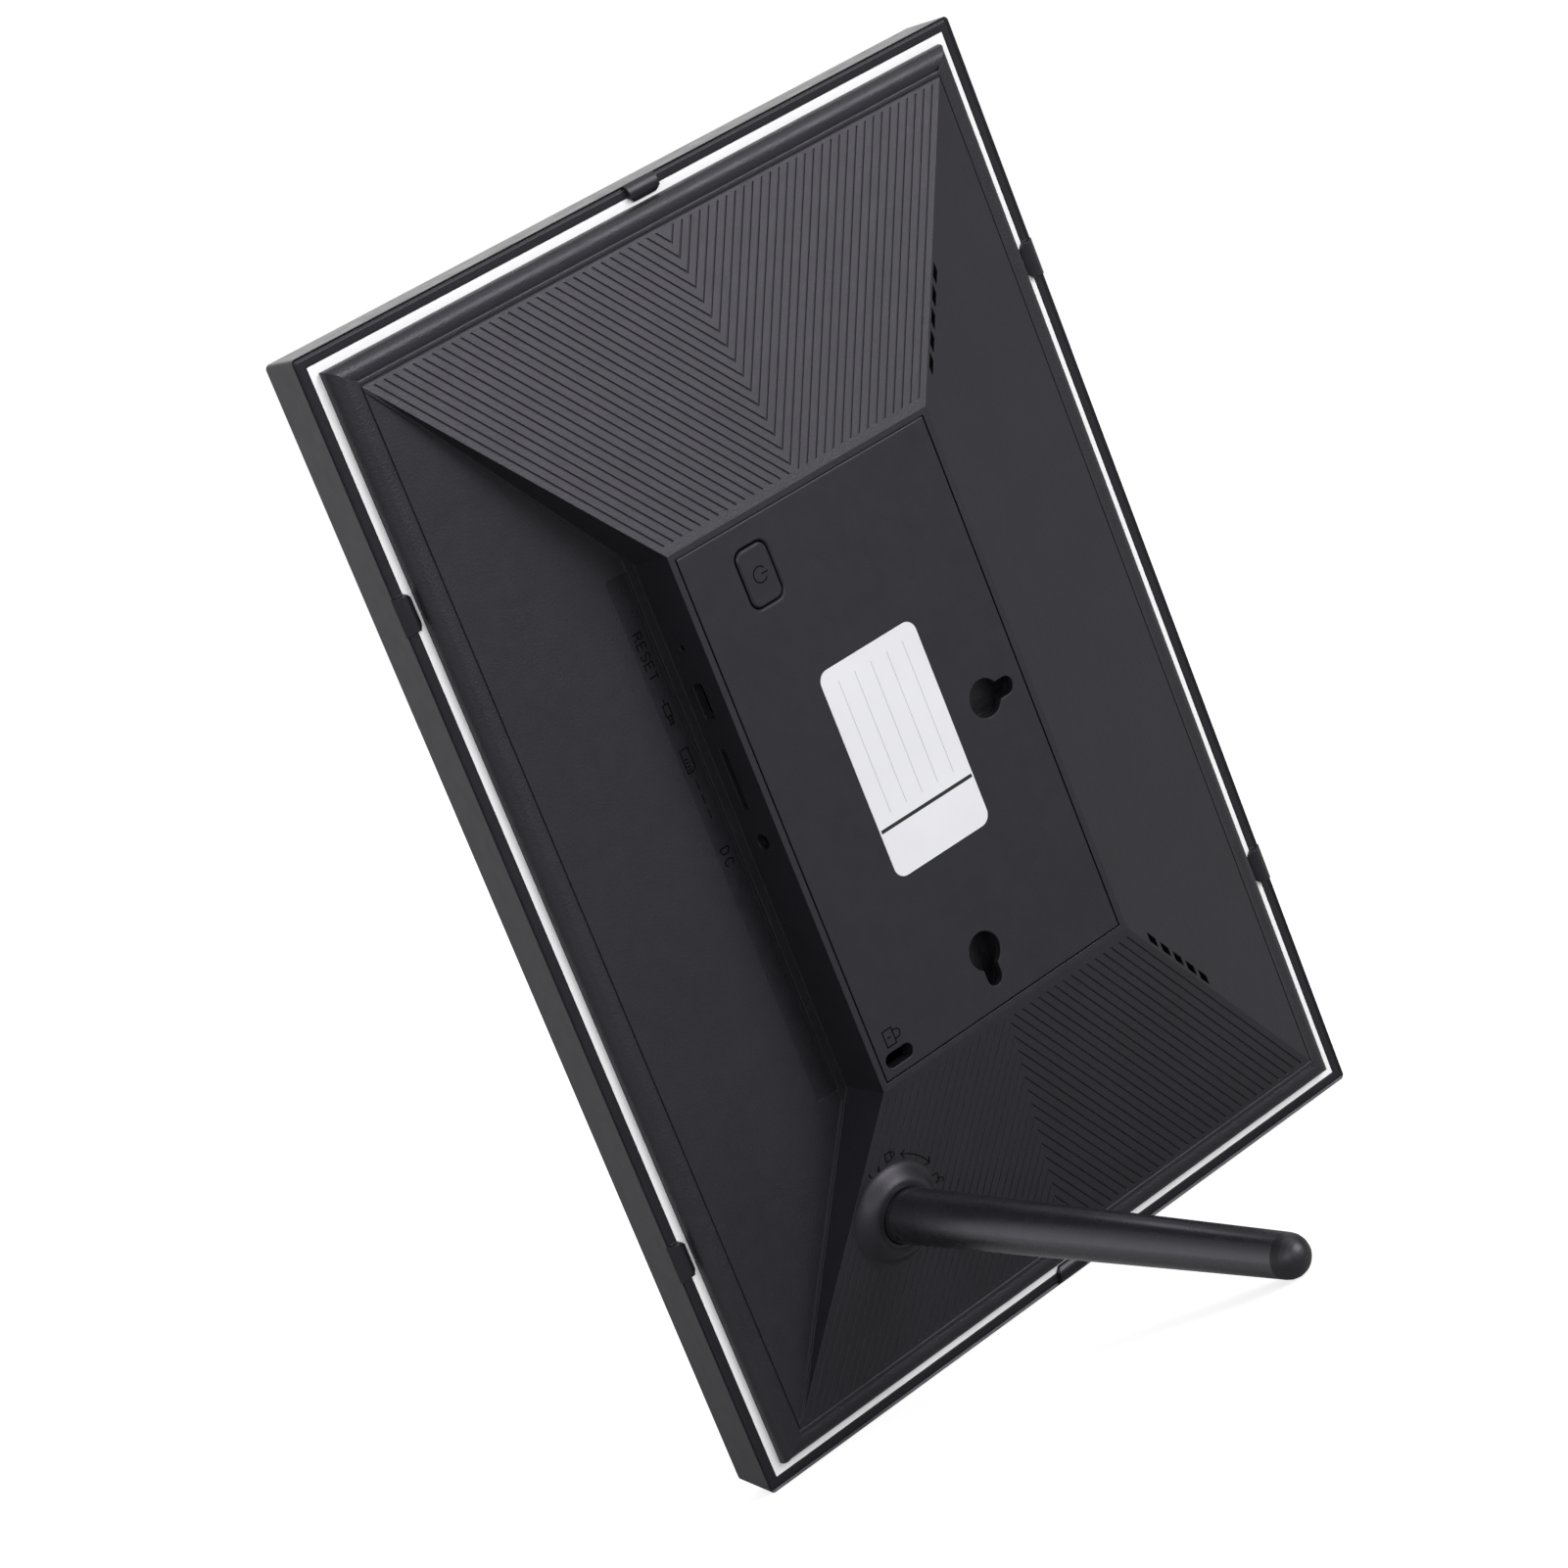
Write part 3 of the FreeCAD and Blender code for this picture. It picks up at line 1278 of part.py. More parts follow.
pieces = {
    "outer_frame": outer_frame, "mat_bezel": mat_bezel, "glass_tape": glass_tape,
    "cover_glass": cover_glass, "lcd_panel": lcd_panel, "lcd_backlight": lcd_backlight,
    "lcd_back_plate": lcd_back_plate,
    "lcd_clamps": lcd_clamps, "clamp_screws": clamp_screws, "lcd_ribbon": lcd_ribbon,
    "rear_cover": rear_cover, "centre_plate": centre_plate, "spec_label": spec_label,
    "power_button": power_button, "power_switch": power_switch,
    "power_switch_plunger": power_switch_plunger, "reset_switch": reset_switch,
    "reset_plunger": reset_plunger, "main_board": main_board, "board_screws": board_screws,
    "shield_can": shield_can, "board_chips": board_chips, "display_connector": display_connector,
    "usb_socket": usb_socket, "card_socket": card_socket, "power_socket": power_socket,
    "speaker_sockets": speaker_sockets, "speaker_leads": speaker_leads,
    "speaker_upper": lambda: speaker(1), "speaker_lower": lambda: speaker(-1),
    "speaker_gaskets": speaker_gaskets, "wifi_antenna": wifi_antenna, "antenna_lead": antenna_lead,
    "stand_socket": stand_socket, "socket_screws": socket_screws, "stand_leg": stand_leg,
    "leg_tip": leg_tip,
}

os.makedirs("parts", exist_ok=True)
for name, make in pieces.items():
    piece = stand_up(make())
    piece.exportStep("parts/" + name + ".step")
    box = piece.BoundBox
    print(name, "solids", len(piece.Solids), "valid", piece.isValid(), "volume", round(piece.Volume, 1),
          "box", [round(v, 2) for v in (box.XMin, box.YMin, box.ZMin, box.XMax, box.YMax, box.ZMax)])
print("lean", round(math.degrees(lean), 2))
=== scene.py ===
"""Looks of the photo frame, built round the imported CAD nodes: materials, skins, marks, light."""
import json
import math

import bmesh
import bpy
from mathutils import Matrix, Vector


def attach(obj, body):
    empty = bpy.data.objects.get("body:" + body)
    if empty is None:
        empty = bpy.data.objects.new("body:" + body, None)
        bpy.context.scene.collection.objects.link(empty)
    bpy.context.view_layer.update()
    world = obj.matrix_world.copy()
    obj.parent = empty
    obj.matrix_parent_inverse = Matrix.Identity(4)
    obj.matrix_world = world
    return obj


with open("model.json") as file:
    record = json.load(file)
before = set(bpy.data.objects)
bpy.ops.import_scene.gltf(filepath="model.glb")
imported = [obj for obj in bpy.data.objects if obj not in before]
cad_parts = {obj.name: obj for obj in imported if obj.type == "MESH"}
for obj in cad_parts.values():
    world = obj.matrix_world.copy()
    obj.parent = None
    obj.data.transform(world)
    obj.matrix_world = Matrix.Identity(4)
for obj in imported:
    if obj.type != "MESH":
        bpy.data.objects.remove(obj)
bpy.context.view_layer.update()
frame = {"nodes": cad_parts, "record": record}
record = frame["record"]
nodes = frame["nodes"]
scene = bpy.context.scene

# ---------------------------------------------------------------- local axes
# x across the back (+ towards the sockets), w out of the back (0 at the rim), z along the long
# side (0 at the middle). Millimetres, as in the CAD.
mounts = {m["name"]: m for m in record["mounts"]}
keyhole = mounts["keyhole_end"]
out = Vector(keyhole["axis"]).normalized()
along = Vector((1, 0, 0)).cross(out)
KEYHOLE_LOCAL = Vector((0.0, 15.2, -48.8))
ROT = Matrix(((1, 0, 0), tuple(out), tuple(along))).transposed()
SHIFT = Vector(keyhole["pos_m"]) - ROT @ (KEYHOLE_LOCAL / 1000)


def at(x, w, z):
    """Point of the row frame, in metres, for a local point in millimetres."""
    return ROT @ (Vector((x, w, z)) / 1000) + SHIFT


def turn(x, w, z):
    """Direction in the row frame for a local direction."""
    return ROT @ Vector((x, w, z))


# Places on the back that the added pieces share with the CAD, in millimetres.
PLATE = 16.0                # height of the centre plate over the rim
LIP = 3.8                   # height of the slopes' foot
RIDGE_END = 63.0            # from the middle to the ends of the ridge
SLOPE_END = 121.75          # from the middle to the feet of the end slopes
COVER_X, COVER_Z = 86.35, 127.15    # half sizes of the rear cover
WING_DROP = (PLATE - LIP) / (SLOPE_END - RIDGE_END)
BOSS_X, BOSS_Z = 42.3, -90.5        # centre of the leg's boss on the lower wing
CLEAR = 0.005               # keeps marks off the face below
SINK = 0.02                 # how far added pieces reach into it

# ---------------------------------------------------------------- camera
CAMERA_SPOT = (549.42, 834.11, 291.74)
CAMERA_RIGHT = (-0.726879, 0.584988, -0.359771)
CAMERA_DOWN = (0.456311, 0.019883, -0.889598)
CAMERA_AHEAD = (-0.513251, -0.810798, -0.281389)

camera_data = bpy.data.cameras.new("camera")
camera_data.lens = 110.87
camera_data.sensor_width = 36
camera_data.clip_start = 0.02
camera_data.clip_end = 40
camera = bpy.data.objects.new("camera", camera_data)
scene.collection.objects.link(camera)
scene.camera = camera
basis = Matrix((turn(*CAMERA_RIGHT), -turn(*CAMERA_DOWN), -turn(*CAMERA_AHEAD))).transposed()
camera.matrix_world = Matrix.Translation(at(*CAMERA_SPOT)) @ basis.to_4x4()


# ---------------------------------------------------------------- materials
def new_material(name):
    """A node material, its tree and its shader."""
    m = bpy.data.materials.new(name)
    m.use_nodes = True
    tree = m.node_tree
    shader = tree.nodes["Principled BSDF"]
    return m, tree, shader


def node(tree, kind, **inputs):
    """A new node with some of its inputs set."""
    n = tree.nodes.new(kind)
    for k, v in inputs.items():
        n.inputs[k.replace("_", " ")].default_value = v
    return n


def noise(tree, scale, detail=2.0, rough=0.5):
    """Noise fixed to the piece; the scale is in cycles per metre."""
    coords = tree.nodes.new("ShaderNodeTexCoord")
    n = node(tree, "ShaderNodeTexNoise", Scale=scale, Detail=detail, Roughness=rough)
    tree.links.new(coords.outputs["Object"], n.inputs["Vector"])
    return n


def ramp(tree, source, low, high, a, b):
    """Maps low..high of a value to a..b."""
    r = tree.nodes.new("ShaderNodeMapRange")
    r.inputs["From Min"].default_value = low
    r.inputs["From Max"].default_value = high
    r.inputs["To Min"].default_value = a
    r.inputs["To Max"].default_value = b
    tree.links.new(source, r.inputs["Value"])
    return r.outputs["Result"]


def mix_colour(tree, factor, a, b):
    """Colour between a and b."""
    m = tree.nodes.new("ShaderNodeMix")
    m.data_type = "RGBA"
    tree.links.new(factor, m.inputs[0])
    m.inputs[6].default_value = (*a, 1)
    m.inputs[7].default_value = (*b, 1)
    return m.outputs[2]


def plastic(name, shades, rough, spread, grain, depth, cloud=60, level=0.5, edge=0.0,
            tint=(1, 1, 1), relief=0.05, ior=1.5):
    """Moulded plastic: cloudy colour, uneven gloss, fine grain and softened edges.

    shades are the dark and the light colour, spread the play of the roughness, grain and cloud
    cycles per metre, depth the strength of a grain relief millimetres high, edge a radius in
    millimetres.
    """
    m, tree, shader = new_material(name)
    link = tree.links.new
    clouds = noise(tree, cloud, 3.0)
    link(mix_colour(tree, ramp(tree, clouds.outputs["Fac"], 0.3, 0.7, 0, 1), *shades),
         shader.inputs["Base Color"])
    gloss = noise(tree, cloud * 4, 2.0)
    link(ramp(tree, gloss.outputs["Fac"], 0.3, 0.7, rough - spread, rough + spread),
         shader.inputs["Roughness"])
    shader.inputs["Specular IOR Level"].default_value = level
    shader.inputs["IOR"].default_value = ior
    shader.inputs["Specular Tint"].default_value = (*tint, 1)
    fine = noise(tree, grain, 2.0, 0.6)
    bump = node(tree, "ShaderNodeBump", Strength=depth, Distance=relief / 1000)
    link(fine.outputs["Fac"], bump.inputs["Height"])
    if edge:
        rounded = tree.nodes.new("ShaderNodeBevel")
        rounded.samples = 4
        rounded.inputs["Radius"].default_value = edge / 1000
        link(rounded.outputs["Normal"], bump.inputs["Normal"])
    link(bump.outputs["Normal"], shader.inputs["Normal"])
    return m


def metal(name, colour, rough):
    """Bare metal with a slightly uneven colour and gloss."""
    m, tree, shader = new_material(name)
    shader.inputs["Metallic"].default_value = 1.0
    n = noise(tree, 900, 2.0)
    tree.links.new(mix_colour(tree, n.outputs["Fac"], [c * 0.85 for c in colour], colour),
                   shader.inputs["Base Color"])
    tree.links.new(ramp(tree, n.outputs["Fac"], 0.3, 0.7, rough - 0.06, rough + 0.06),
                   shader.inputs["Roughness"])
    return m


COOL = (0.93, 0.90, 1.0)    # tint of the blacks' gloss
SATIN = ((0.0066, 0.0063, 0.0088), (0.0084, 0.0081, 0.0112))
FRAME = ((0.0060, 0.0057, 0.0080), (0.0076, 0.0073, 0.0100))
STAND = ((0.0062, 0.0060, 0.0078), (0.0080, 0.0078, 0.0098))
# Darker copy of the blacks: painted shade for the shadow inside sunk moulded marks.
SUNK_SHADE = ((0.0014, 0.0014, 0.0017), (0.0022, 0.0021, 0.0026))

black = plastic("cover_black", SATIN, 0.42, 0.03, 2200, 1.0, level=0.55, edge=0.22, tint=COOL,
                relief=0.055)
lip_black = plastic("lip_black", SATIN, 0.42, 0.04, 1900, 1.0, level=0.55, tint=COOL, relief=0.11)
dome_black = plastic("dome_black", SATIN, 0.42, 0.04, 1900, 0.8, level=0.48, tint=COOL)
plate_black = plastic("plate_black", SATIN, 0.42, 0.03, 2400, 0.5, level=0.55, edge=0.38, tint=COOL)
frame_black = plastic("frame_black", FRAME, 0.33, 0.04, 2200, 0.25, level=0.43, edge=0.30, tint=COOL)
button_black = plastic("button_black", SATIN, 0.40, 0.03, 2600, 0.3, level=0.55, edge=0.20, tint=COOL)
leg_black = plastic("leg_black", STAND, 0.27, 0.03, 1500, 0.03, level=1.0, tint=COOL, ior=1.66)
tip_black = plastic("tip_black", STAND, 0.40, 0.04, 2200, 0.2, level=0.55, tint=COOL)
# The marks are moulded in the cover's plastic; their darker colour is painted shade standing in for the
# shadow in sunk strokes.
mark_painted_shade = plastic("mark_painted_shade", SUNK_SHADE, 0.60, 0.05, 3500, 0.1, level=0.06)
white = plastic("mat_white", ((0.89, 0.885, 0.91), (0.92, 0.915, 0.94)), 0.45, 0.05, 3000, 0.1,
                edge=0.1)
label_white = plastic("label_film", ((0.70, 0.70, 0.735), (0.73, 0.73, 0.765)), 0.32, 0.04, 1800, 0.06)
ink = plastic("label_ink", ((0.006, 0.006, 0.006), (0.010, 0.010, 0.010)), 0.4, 0.05, 3500, 0.05)
pale_ink = plastic("label_pale_ink", ((0.40, 0.40, 0.42), (0.45, 0.45, 0.47)), 0.4, 0.05, 3500, 0.05)
rubber = plastic("lead_rubber", ((0.013, 0.013, 0.015), (0.018, 0.018, 0.02)), 0.55, 0.06, 2600, 0.3)
foam = plastic("foam", ((0.02, 0.02, 0.02), (0.05, 0.05, 0.05)), 0.9, 0.05, 1500, 0.9)
dark_plastic = plastic("moulded_dark", ((0.010, 0.010, 0.011), (0.016, 0.016, 0.017)), 0.45, 0.06,
                       3500, 0.2)
grey_plastic = plastic("moulded_grey", ((0.25, 0.25, 0.25), (0.3, 0.3, 0.3)), 0.45, 0.05, 3500, 0.2)
cream_plastic = plastic("moulded_cream", ((0.68, 0.66, 0.6), (0.75, 0.73, 0.68)), 0.4, 0.05, 3500, 0.2)
guide = plastic("light_guide", ((0.75, 0.75, 0.75), (0.82, 0.82, 0.82)), 0.4, 0.05, 3500, 0.1)
board = plastic("board_green", ((0.012, 0.08, 0.035), (0.02, 0.13, 0.06)), 0.35, 0.05, 2500, 0.2,
                cloud=300)
amber = plastic("ribbon_amber", ((0.45, 0.24, 0.05), (0.55, 0.33, 0.1)), 0.3, 0.04, 2500, 0.1)
steel = metal("steel", (0.55, 0.55, 0.56), 0.35)
tin = metal("socket_metal", (0.62, 0.62, 0.62), 0.25)
screw_metal = metal("screw_metal", (0.42, 0.42, 0.43), 0.35)
screen, tree, shader = new_material("screen_off")
n = noise(tree, 30, 2.0)
tree.links.new(mix_colour(tree, n.outputs["Fac"], (0.006, 0.006, 0.008), (0.010, 0.010, 0.013)),
               shader.inputs["Base Color"])
tree.links.new(ramp(tree, n.outputs["Fac"], 0.3, 0.7, 0.10, 0.14), shader.inputs["Roughness"])
glass, tree, shader = new_material("clear_glass")
shader.inputs["Transmission Weight"].default_value = 1.0
shader.inputs["IOR"].default_value = 1.5
n = noise(tree, 12, 2.0)
tree.links.new(ramp(tree, n.outputs["Fac"], 0.3, 0.7, 0.0, 0.03), shader.inputs["Roughness"])
shader.inputs["Base Color"].default_value = (0.94, 0.96, 0.95, 1)

finish = {
    "frame_black": frame_black, "mat_white": white, "tape": foam, "glass": glass, "screen": screen,
    "light_guide": guide, "steel": steel, "screw_steel": screw_metal, "ribbon": amber,
    "cover_black": black, "plate_black": plate_black, "label": label_white, "button_black": button_black,
    "switch_black": dark_plastic, "switch_grey": grey_plastic, "board_green": board,
    "chip_black": dark_plastic, "connector_white": cream_plastic, "socket_metal": tin,
    "socket_black": dark_plastic, "lead_black": rubber, "speaker_black": dark_plastic, "foam": foam,
    "socket_plastic": dark_plastic, "leg_black": leg_black, "tip_rubber": tip_black}
for part in record["subparts"]:
    obj = nodes[part["node"]]
    obj.data.materials.clear()
    obj.data.materials.append(finish[part["material_slot"]])


def weld(name):
    """Joins a CAD node's faces along their shared edges in the render, its vertices left alone."""
    modifier = nodes[name].modifiers.new("weld", "WELD")
    modifier.merge_threshold = 0.000004


def soften(name, width, angle=35, segments=2):
    """Rounds a welded CAD node's edges."""
    weld(name)
    bevel = nodes[name].modifiers.new("bevel", "BEVEL")
    bevel.width = width / 1000
    bevel.segments = segments
    bevel.limit_method = "ANGLE"
    bevel.angle_limit = math.radians(angle)
    bevel.harden_normals = True
    bevel.use_clamp_overlap = True


def smooth(name, angle):
    """Shades a welded CAD node smoothly across edges flatter than an angle."""
    weld(name)
    split = nodes[name].modifiers.new("split", "EDGE_SPLIT")
    split.split_angle = math.radians(angle)


soften("power_button", 0.22, segments=3)
smooth("leg_tip", 40)


# ---------------------------------------------------------------- added pieces
def piece(name, verts, faces, material, body, shade=False):
    """Mesh of local points in millimetres, which moves with a body."""
    mesh = bpy.data.meshes.new(name)
    mesh.from_pydata([at(*v) for v in verts], [], faces)
    mesh.validate()
    bm = bmesh.new()
    bm.from_mesh(mesh)
    bmesh.ops.recalc_face_normals(bm, faces=bm.faces)
    bm.to_mesh(mesh)
    bm.free()
    if shade:
        mesh.shade_smooth()
    obj = bpy.data.objects.new(name, mesh)
    scene.collection.objects.link(obj)
    mesh.materials.append(material)
    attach(obj, body)
    return obj


def offset_lines(points, closed):
    """Mitred sideways direction at each point of a flat line."""
    count = len(points)
    sides = []
    for i in range(count):
        before = points[i - 1] if (i or closed) else None
        after = points[(i + 1) % count] if (i < count - 1 or closed) else None
        normals = []
        for a, b in ((before, points[i]), (points[i], after)):
            if a is not None and b is not None:
                d = (Vector(b) - Vector(a)).normalized()
                normals.append(Vector((-d.y, d.x)))
        if len(normals) == 1:
            sides.append(normals[0])
        else:
            half = (normals[0] + normals[1]).normalized()
            sides.append(half / max(0.5, half.dot(normals[0])))
    return sides


def marks(name, lines, origin, u, v, width, height, material, body, top=0.55):
    """Ribs with a trapezoid section along flat lines, on a face spanned by u and v.

    A line is its points and whether it closes; top is the crest's share of the width.
    """
    u = Vector(u).normalized()
    v = Vector(v).normalized()
    lift = u.cross(v).normalized()
    if lift.y < 0:
        lift = -lift
    origin = Vector(origin)
    verts = []
    faces = []
    for points, closed in lines:
        base = len(verts)
        for p, side in zip(points, offset_lines(points, closed)):
            for reach, rise in ((-0.5, -SINK), (-0.5 * top, height), (0.5 * top, height), (0.5, -SINK)):
                q = Vector(p) + side * (reach * width)
                verts.append(origin + u * q.x + v * q.y + lift * rise)
        count = len(points)
        for i in range(count if closed else count - 1):
            a = base + 4 * i
            b = base + 4 * ((i + 1) % count)
            faces += [(a + k, a + (k + 1) % 4, b + (k + 1) % 4, b + k) for k in range(4)]
        if not closed:
            end = base + 4 * (count - 1)
            faces += [(base, base + 1, base + 2, base + 3), (end, end + 1, end + 2, end + 3)]
    return piece(name, verts, faces, material, body)


def arc(cx, cy, r, start, end, steps):
    """Points of an arc, in degrees."""
    points = []
    for k in range(steps + 1):
        t = math.radians(start + (end - start) * k / steps)
        points.append((cx + r * math.cos(t), cy + r * math.sin(t)))
    return points


LETTERS = {
    "R": [[(0, 0), (0, 1), (.42, 1), (.58, .9), (.6, .76), (.58, .62), (.42, .52), (0, .52)],
          [(.3, .52), (.62, 0)]],
    "E": [[(.6, 0), (0, 0), (0, 1), (.6, 1)], [(0, .52), (.5, .52)]],
    "S": [[(.02, .16), (.16, 0), (.44, 0), (.6, .14), (.6, .34), (.44, .48), (.18, .54), (.03, .68),
           (.03, .86), (.18, 1), (.44, 1), (.58, .86)]],
    "T": [[(0, 1), (.64, 1)], [(.32, 1), (.32, 0)]],
    "D": [[(0, 0), (0, 1), (.32, 1), (.52, .88), (.6, .68), (.6, .32), (.52, .12), (.32, 0), (0, 0)]],
    "C": [[(.6, .8), (.46, .98), (.2, .98), (.04, .82), (0, .6), (0, .4), (.04, .18), (.2, .02),
           (.46, .02), (.6, .2)]]}


def word(text, height, pitch):
    """Strokes of a word in capitals of a height, one letter per pitch."""
    lines = []
    for i, letter in enumerate(text):
        for line in LETTERS[letter]:
            lines.append(([(x * height + i * pitch, y * height) for x, y in line], False))
    return lines


# The reading direction runs down the long side; the tops point away from the sockets.
READ = (0, 0, -1)
UP = (-1, 0, 0)

# Marks on the dish at the foot of the bay's wall.
DISH_EDGE, DISH_WIDTH, DISH_RISE = 46.0, 5.6, 0.5
BAY_UP = (-1, -DISH_RISE / DISH_WIDTH, 0)
BAY_ROW = 44.7              # x of the marks' feet
BAY_HEIGHT = 0.09


def bay_mark(name, lines, z, width):
    """Mark on the dish, starting at z."""
    spot = (BAY_ROW, LIP - DISH_RISE * (DISH_EDGE - BAY_ROW) / DISH_WIDTH + CLEAR, z)
    return marks(name, lines, spot, READ, BAY_UP, width, BAY_HEIGHT, mark_painted_shade, "frame_body")


bay_mark("mark_reset", word("RESET", 2.3, 2.28), 48.6, 0.34)
bay_mark("mark_power_in", word("DC", 2.3, 2.6), -1.4, 0.34)
plug = [([(0, .35), (2.6, .35), (2.6, 1.95), (0, 1.95), (0, .35)], False),
        ([(2.6, .7), (4.4, .7), (4.4, 1.6), (2.6, 1.6)], False),
        ([(3.2, 1.15), (4.0, 1.15)], False), ([(0, 1.15), (-1.2, 1.15)], False)]
bay_mark("mark_plug", plug, 32.2, 0.32)
card = [([(0, 0), (5.2, 0), (5.2, 1.7), (4.6, 2.3), (0, 2.3), (0, 0)], False)]
card += [([(4.6 - 0.8 * k, .35), (4.6 - 0.8 * k, 1.2)], False) for k in range(4)]
card += [([(7.2 + 3.4 * k, 1.15), (9.4 + 3.4 * k, 1.15)], False) for k in range(3)]
bay_mark("mark_card", card, 21.8, 0.32)

# Marks on the button and beside the lock slot.
standby = [(arc(0, 0, 1.75, 125, 415, 22), False), ([(0, 0.35), (0, 2.1)], False)]
marks("mark_standby", standby, (17.7, PLATE + 0.152, 49.7), READ, UP, 0.34, 0.06, mark_painted_shade,
      "button_body")
shackle = [(-1.0, 2.6), (-1.0, 3.4)] + arc(0, 3.4, 1.0, 180, 0, 8)[1:] + [(1.0, 2.6)]
padlock = [([(-1.85, 0), (1.85, 0), (1.85, 2.6), (-1.85, 2.6)], True), (shackle, False),
           ([(0, 0.8), (0, 1.7)], False)]
marks("mark_padlock", padlock, (32.2, PLATE + CLEAR, -53.1), READ, UP, 0.36, 0.07, mark_painted_shade,
      "frame_body")

# Marks round the boss, on the lower wing.
WING_READ = (0, -WING_DROP, -1)
WING_UP = (0, WING_DROP, 1)


def wing_spot(x, z):
    """Point on the lower wing, which slopes down from the ridge."""
    return (x, PLATE - (abs(z) - RIDGE_END) * WING_DROP + CLEAR, z)


def wing_mark(name, lines, x, z, u, v, width=0.3, height=0.07):
    """Mark on the lower wing."""
    return marks(name, lines, wing_spot(x, z), u, v, width, height, mark_painted_shade, "frame_body")


small = [([(-1.0, 0), (1.0, 0), (1.0, 1.6), (-1.0, 1.6)], True)]
closed_hoop = [(-0.6, 1.6), (-0.6, 2.1), (-0.3, 2.5), (0.3, 2.5), (0.6, 2.1), (0.6, 1.6)]
open_hoop = [(0.6, 1.6), (0.6, 2.4), (0.9, 2.8), (1.5, 2.8), (1.8, 2.4)]
wing_mark("mark_locked", small + [(closed_hoop, False)], 41.4, -77.1, WING_READ, UP)
wing_mark("mark_unlocked", small + [(open_hoop, False)], 30.9, -88.6, WING_READ, UP)
sweep = arc(0, 0, 13.4, 112, 152, 14)
first, last = sweep[0], sweep[-1]
first_head = [(first[0] - 1.3, first[1] + 0.5), first, (first[0] - 0.7, first[1] - 1.3)]
last_head = [(last[0] + 1.5, last[1] + 0.2), last, (last[0] - 0.2, last[1] + 1.5)]
wing_mark("mark_turn", [(sweep, False), (first_head, False), (last_head, False)], BOSS_X, BOSS_Z,
          (1, 0, 0), WING_UP)
ticks = [([(0, -0.7), (0, 0.7)], False), ([(-2.4, -0.9), (-2.9, 0.3)], False)]
wing_mark("mark_ticks", ticks, 43.8, -78.3, UP, WING_UP, 0.34, 0.1)

# The label's own print is left off: one ruled line parts two bare fields with pale rules.
LABEL_X, LABEL_Z, LABEL_ROUND = 13.9, 24.35, 2.7    # half sizes and corner radius
LABEL_FOOT = 0.004
LABEL_TOP = PLATE + 0.12 + 0.012    # over the CAD label
PRINT_CLEAR = 0.002         # keeps the rules off the film
LABEL_LINE = -13.1          # z of the ruled line
RULES_START = 20.7          # z of the pale rules' upper ends
RULE_PITCH = 4.7


def label_face():
    """Film of the label, with rounded corners and a thin edge."""
    outline = []
    for cx, cz, start in ((1, 1, 0), (-1, 1, 90), (-1, -1, 180), (1, -1, 270)):
        outline += arc(cx * (LABEL_X - LABEL_ROUND), cz * (LABEL_Z - LABEL_ROUND), LABEL_ROUND,
                       start, start + 90, 8)
    count = len(outline)
    verts = [(x, PLATE + LABEL_FOOT, z) for x, z in outline]
    verts += [(x * 0.998, LABEL_TOP, z * 0.999) for x, z in outline]
    faces = [(k, (k + 1) % count, count + (k + 1) % count, count + k) for k in range(count)]
    faces.append(tuple(range(count, 2 * count)))
    return piece("label_film", verts, faces, label_white, "frame_body")


label_face()
marks("label_divider", [([(-13.5, 0), (13.5, 0)], False)], (0, LABEL_TOP + PRINT_CLEAR, LABEL_LINE),
      (1, 0, 0), (0, 0, 1), 0.85, 0.012, ink, "frame_body", top=0.96)
rules = [([(-0.2, RULE_PITCH * k), (31.0, RULE_PITCH * k)], False) for k in (-2, -1, 0, 1, 2)]
marks("label_rules", rules, (0, LABEL_TOP + PRINT_CLEAR, RULES_START), READ, UP, 0.16, 0.010,
      pale_ink, "frame_body", top=0.9)


# ---------------------------------------------------------------- skins over the cover
def dome_skin():
    """Smooth bell over the boss around the leg."""
    centre = Vector(wing_spot(BOSS_X, BOSS_Z))
    tilt = math.atan(WING_DROP)
    normal = Vector((0, math.cos(tilt), -math.sin(tilt)))
    side = Vector((1, 0, 0))
    other = normal.cross(side)
    crown, foot, rise = 7.8, 12.2, 3.0
    rings, steps = 18, 96
    profile = []
    for k in range(rings + 1):
        climb = 0.5 - 0.5 * math.cos(math.pi * k / rings)
        profile.append((foot + (crown - foot) * k / rings, rise * climb - SINK))
    profile += [(7.3, 3.02), (6.98, 2.98), (6.82, 2.85), (6.75, 2.6)]
    verts = []
    faces = []
    for r, h in profile:
        for k in range(steps):
            t = 2 * math.pi * k / steps
            verts.append(centre + (side * math.cos(t) + other * math.sin(t)) * r + normal * h)
    for i in range(len(profile) - 1):
        for k in range(steps):
            j = (k + 1) % steps
            faces.append((i * steps + k, i * steps + j, (i + 1) * steps + j, (i + 1) * steps + k))
    return piece("dome_skin", verts, faces, dome_black, "frame_body", shade=True)


dome_skin()


def ring_faces(rows, name, material, shade, sides=(0, 1, 2, 3)):
    """Mitred strips round the cover; a row holds each side's profile point, as inset and height."""
    verts = []
    faces = []
    for side in sides:
        base = len(verts)
        for row in rows:
            inset = [p[0] for p in row]
            w = row[side][1]
            xs = (COVER_X - inset[0], -(COVER_X - inset[2]))
            zs = (COVER_Z - inset[1], -(COVER_Z - inset[3]))
            corners = ((xs[0], zs[1]), (xs[0], zs[0]), (xs[1], zs[0]), (xs[1], zs[1]))
            for x, z in (corners[side], corners[(side + 1) % 4]):
                verts.append((x, w, z))
        for i in range(len(rows) - 1):
            k = base + 2 * i
            faces.append((k, k + 1, k + 3, k + 2))
    return piece(name, verts, faces, material, "frame_body", shade=shade)


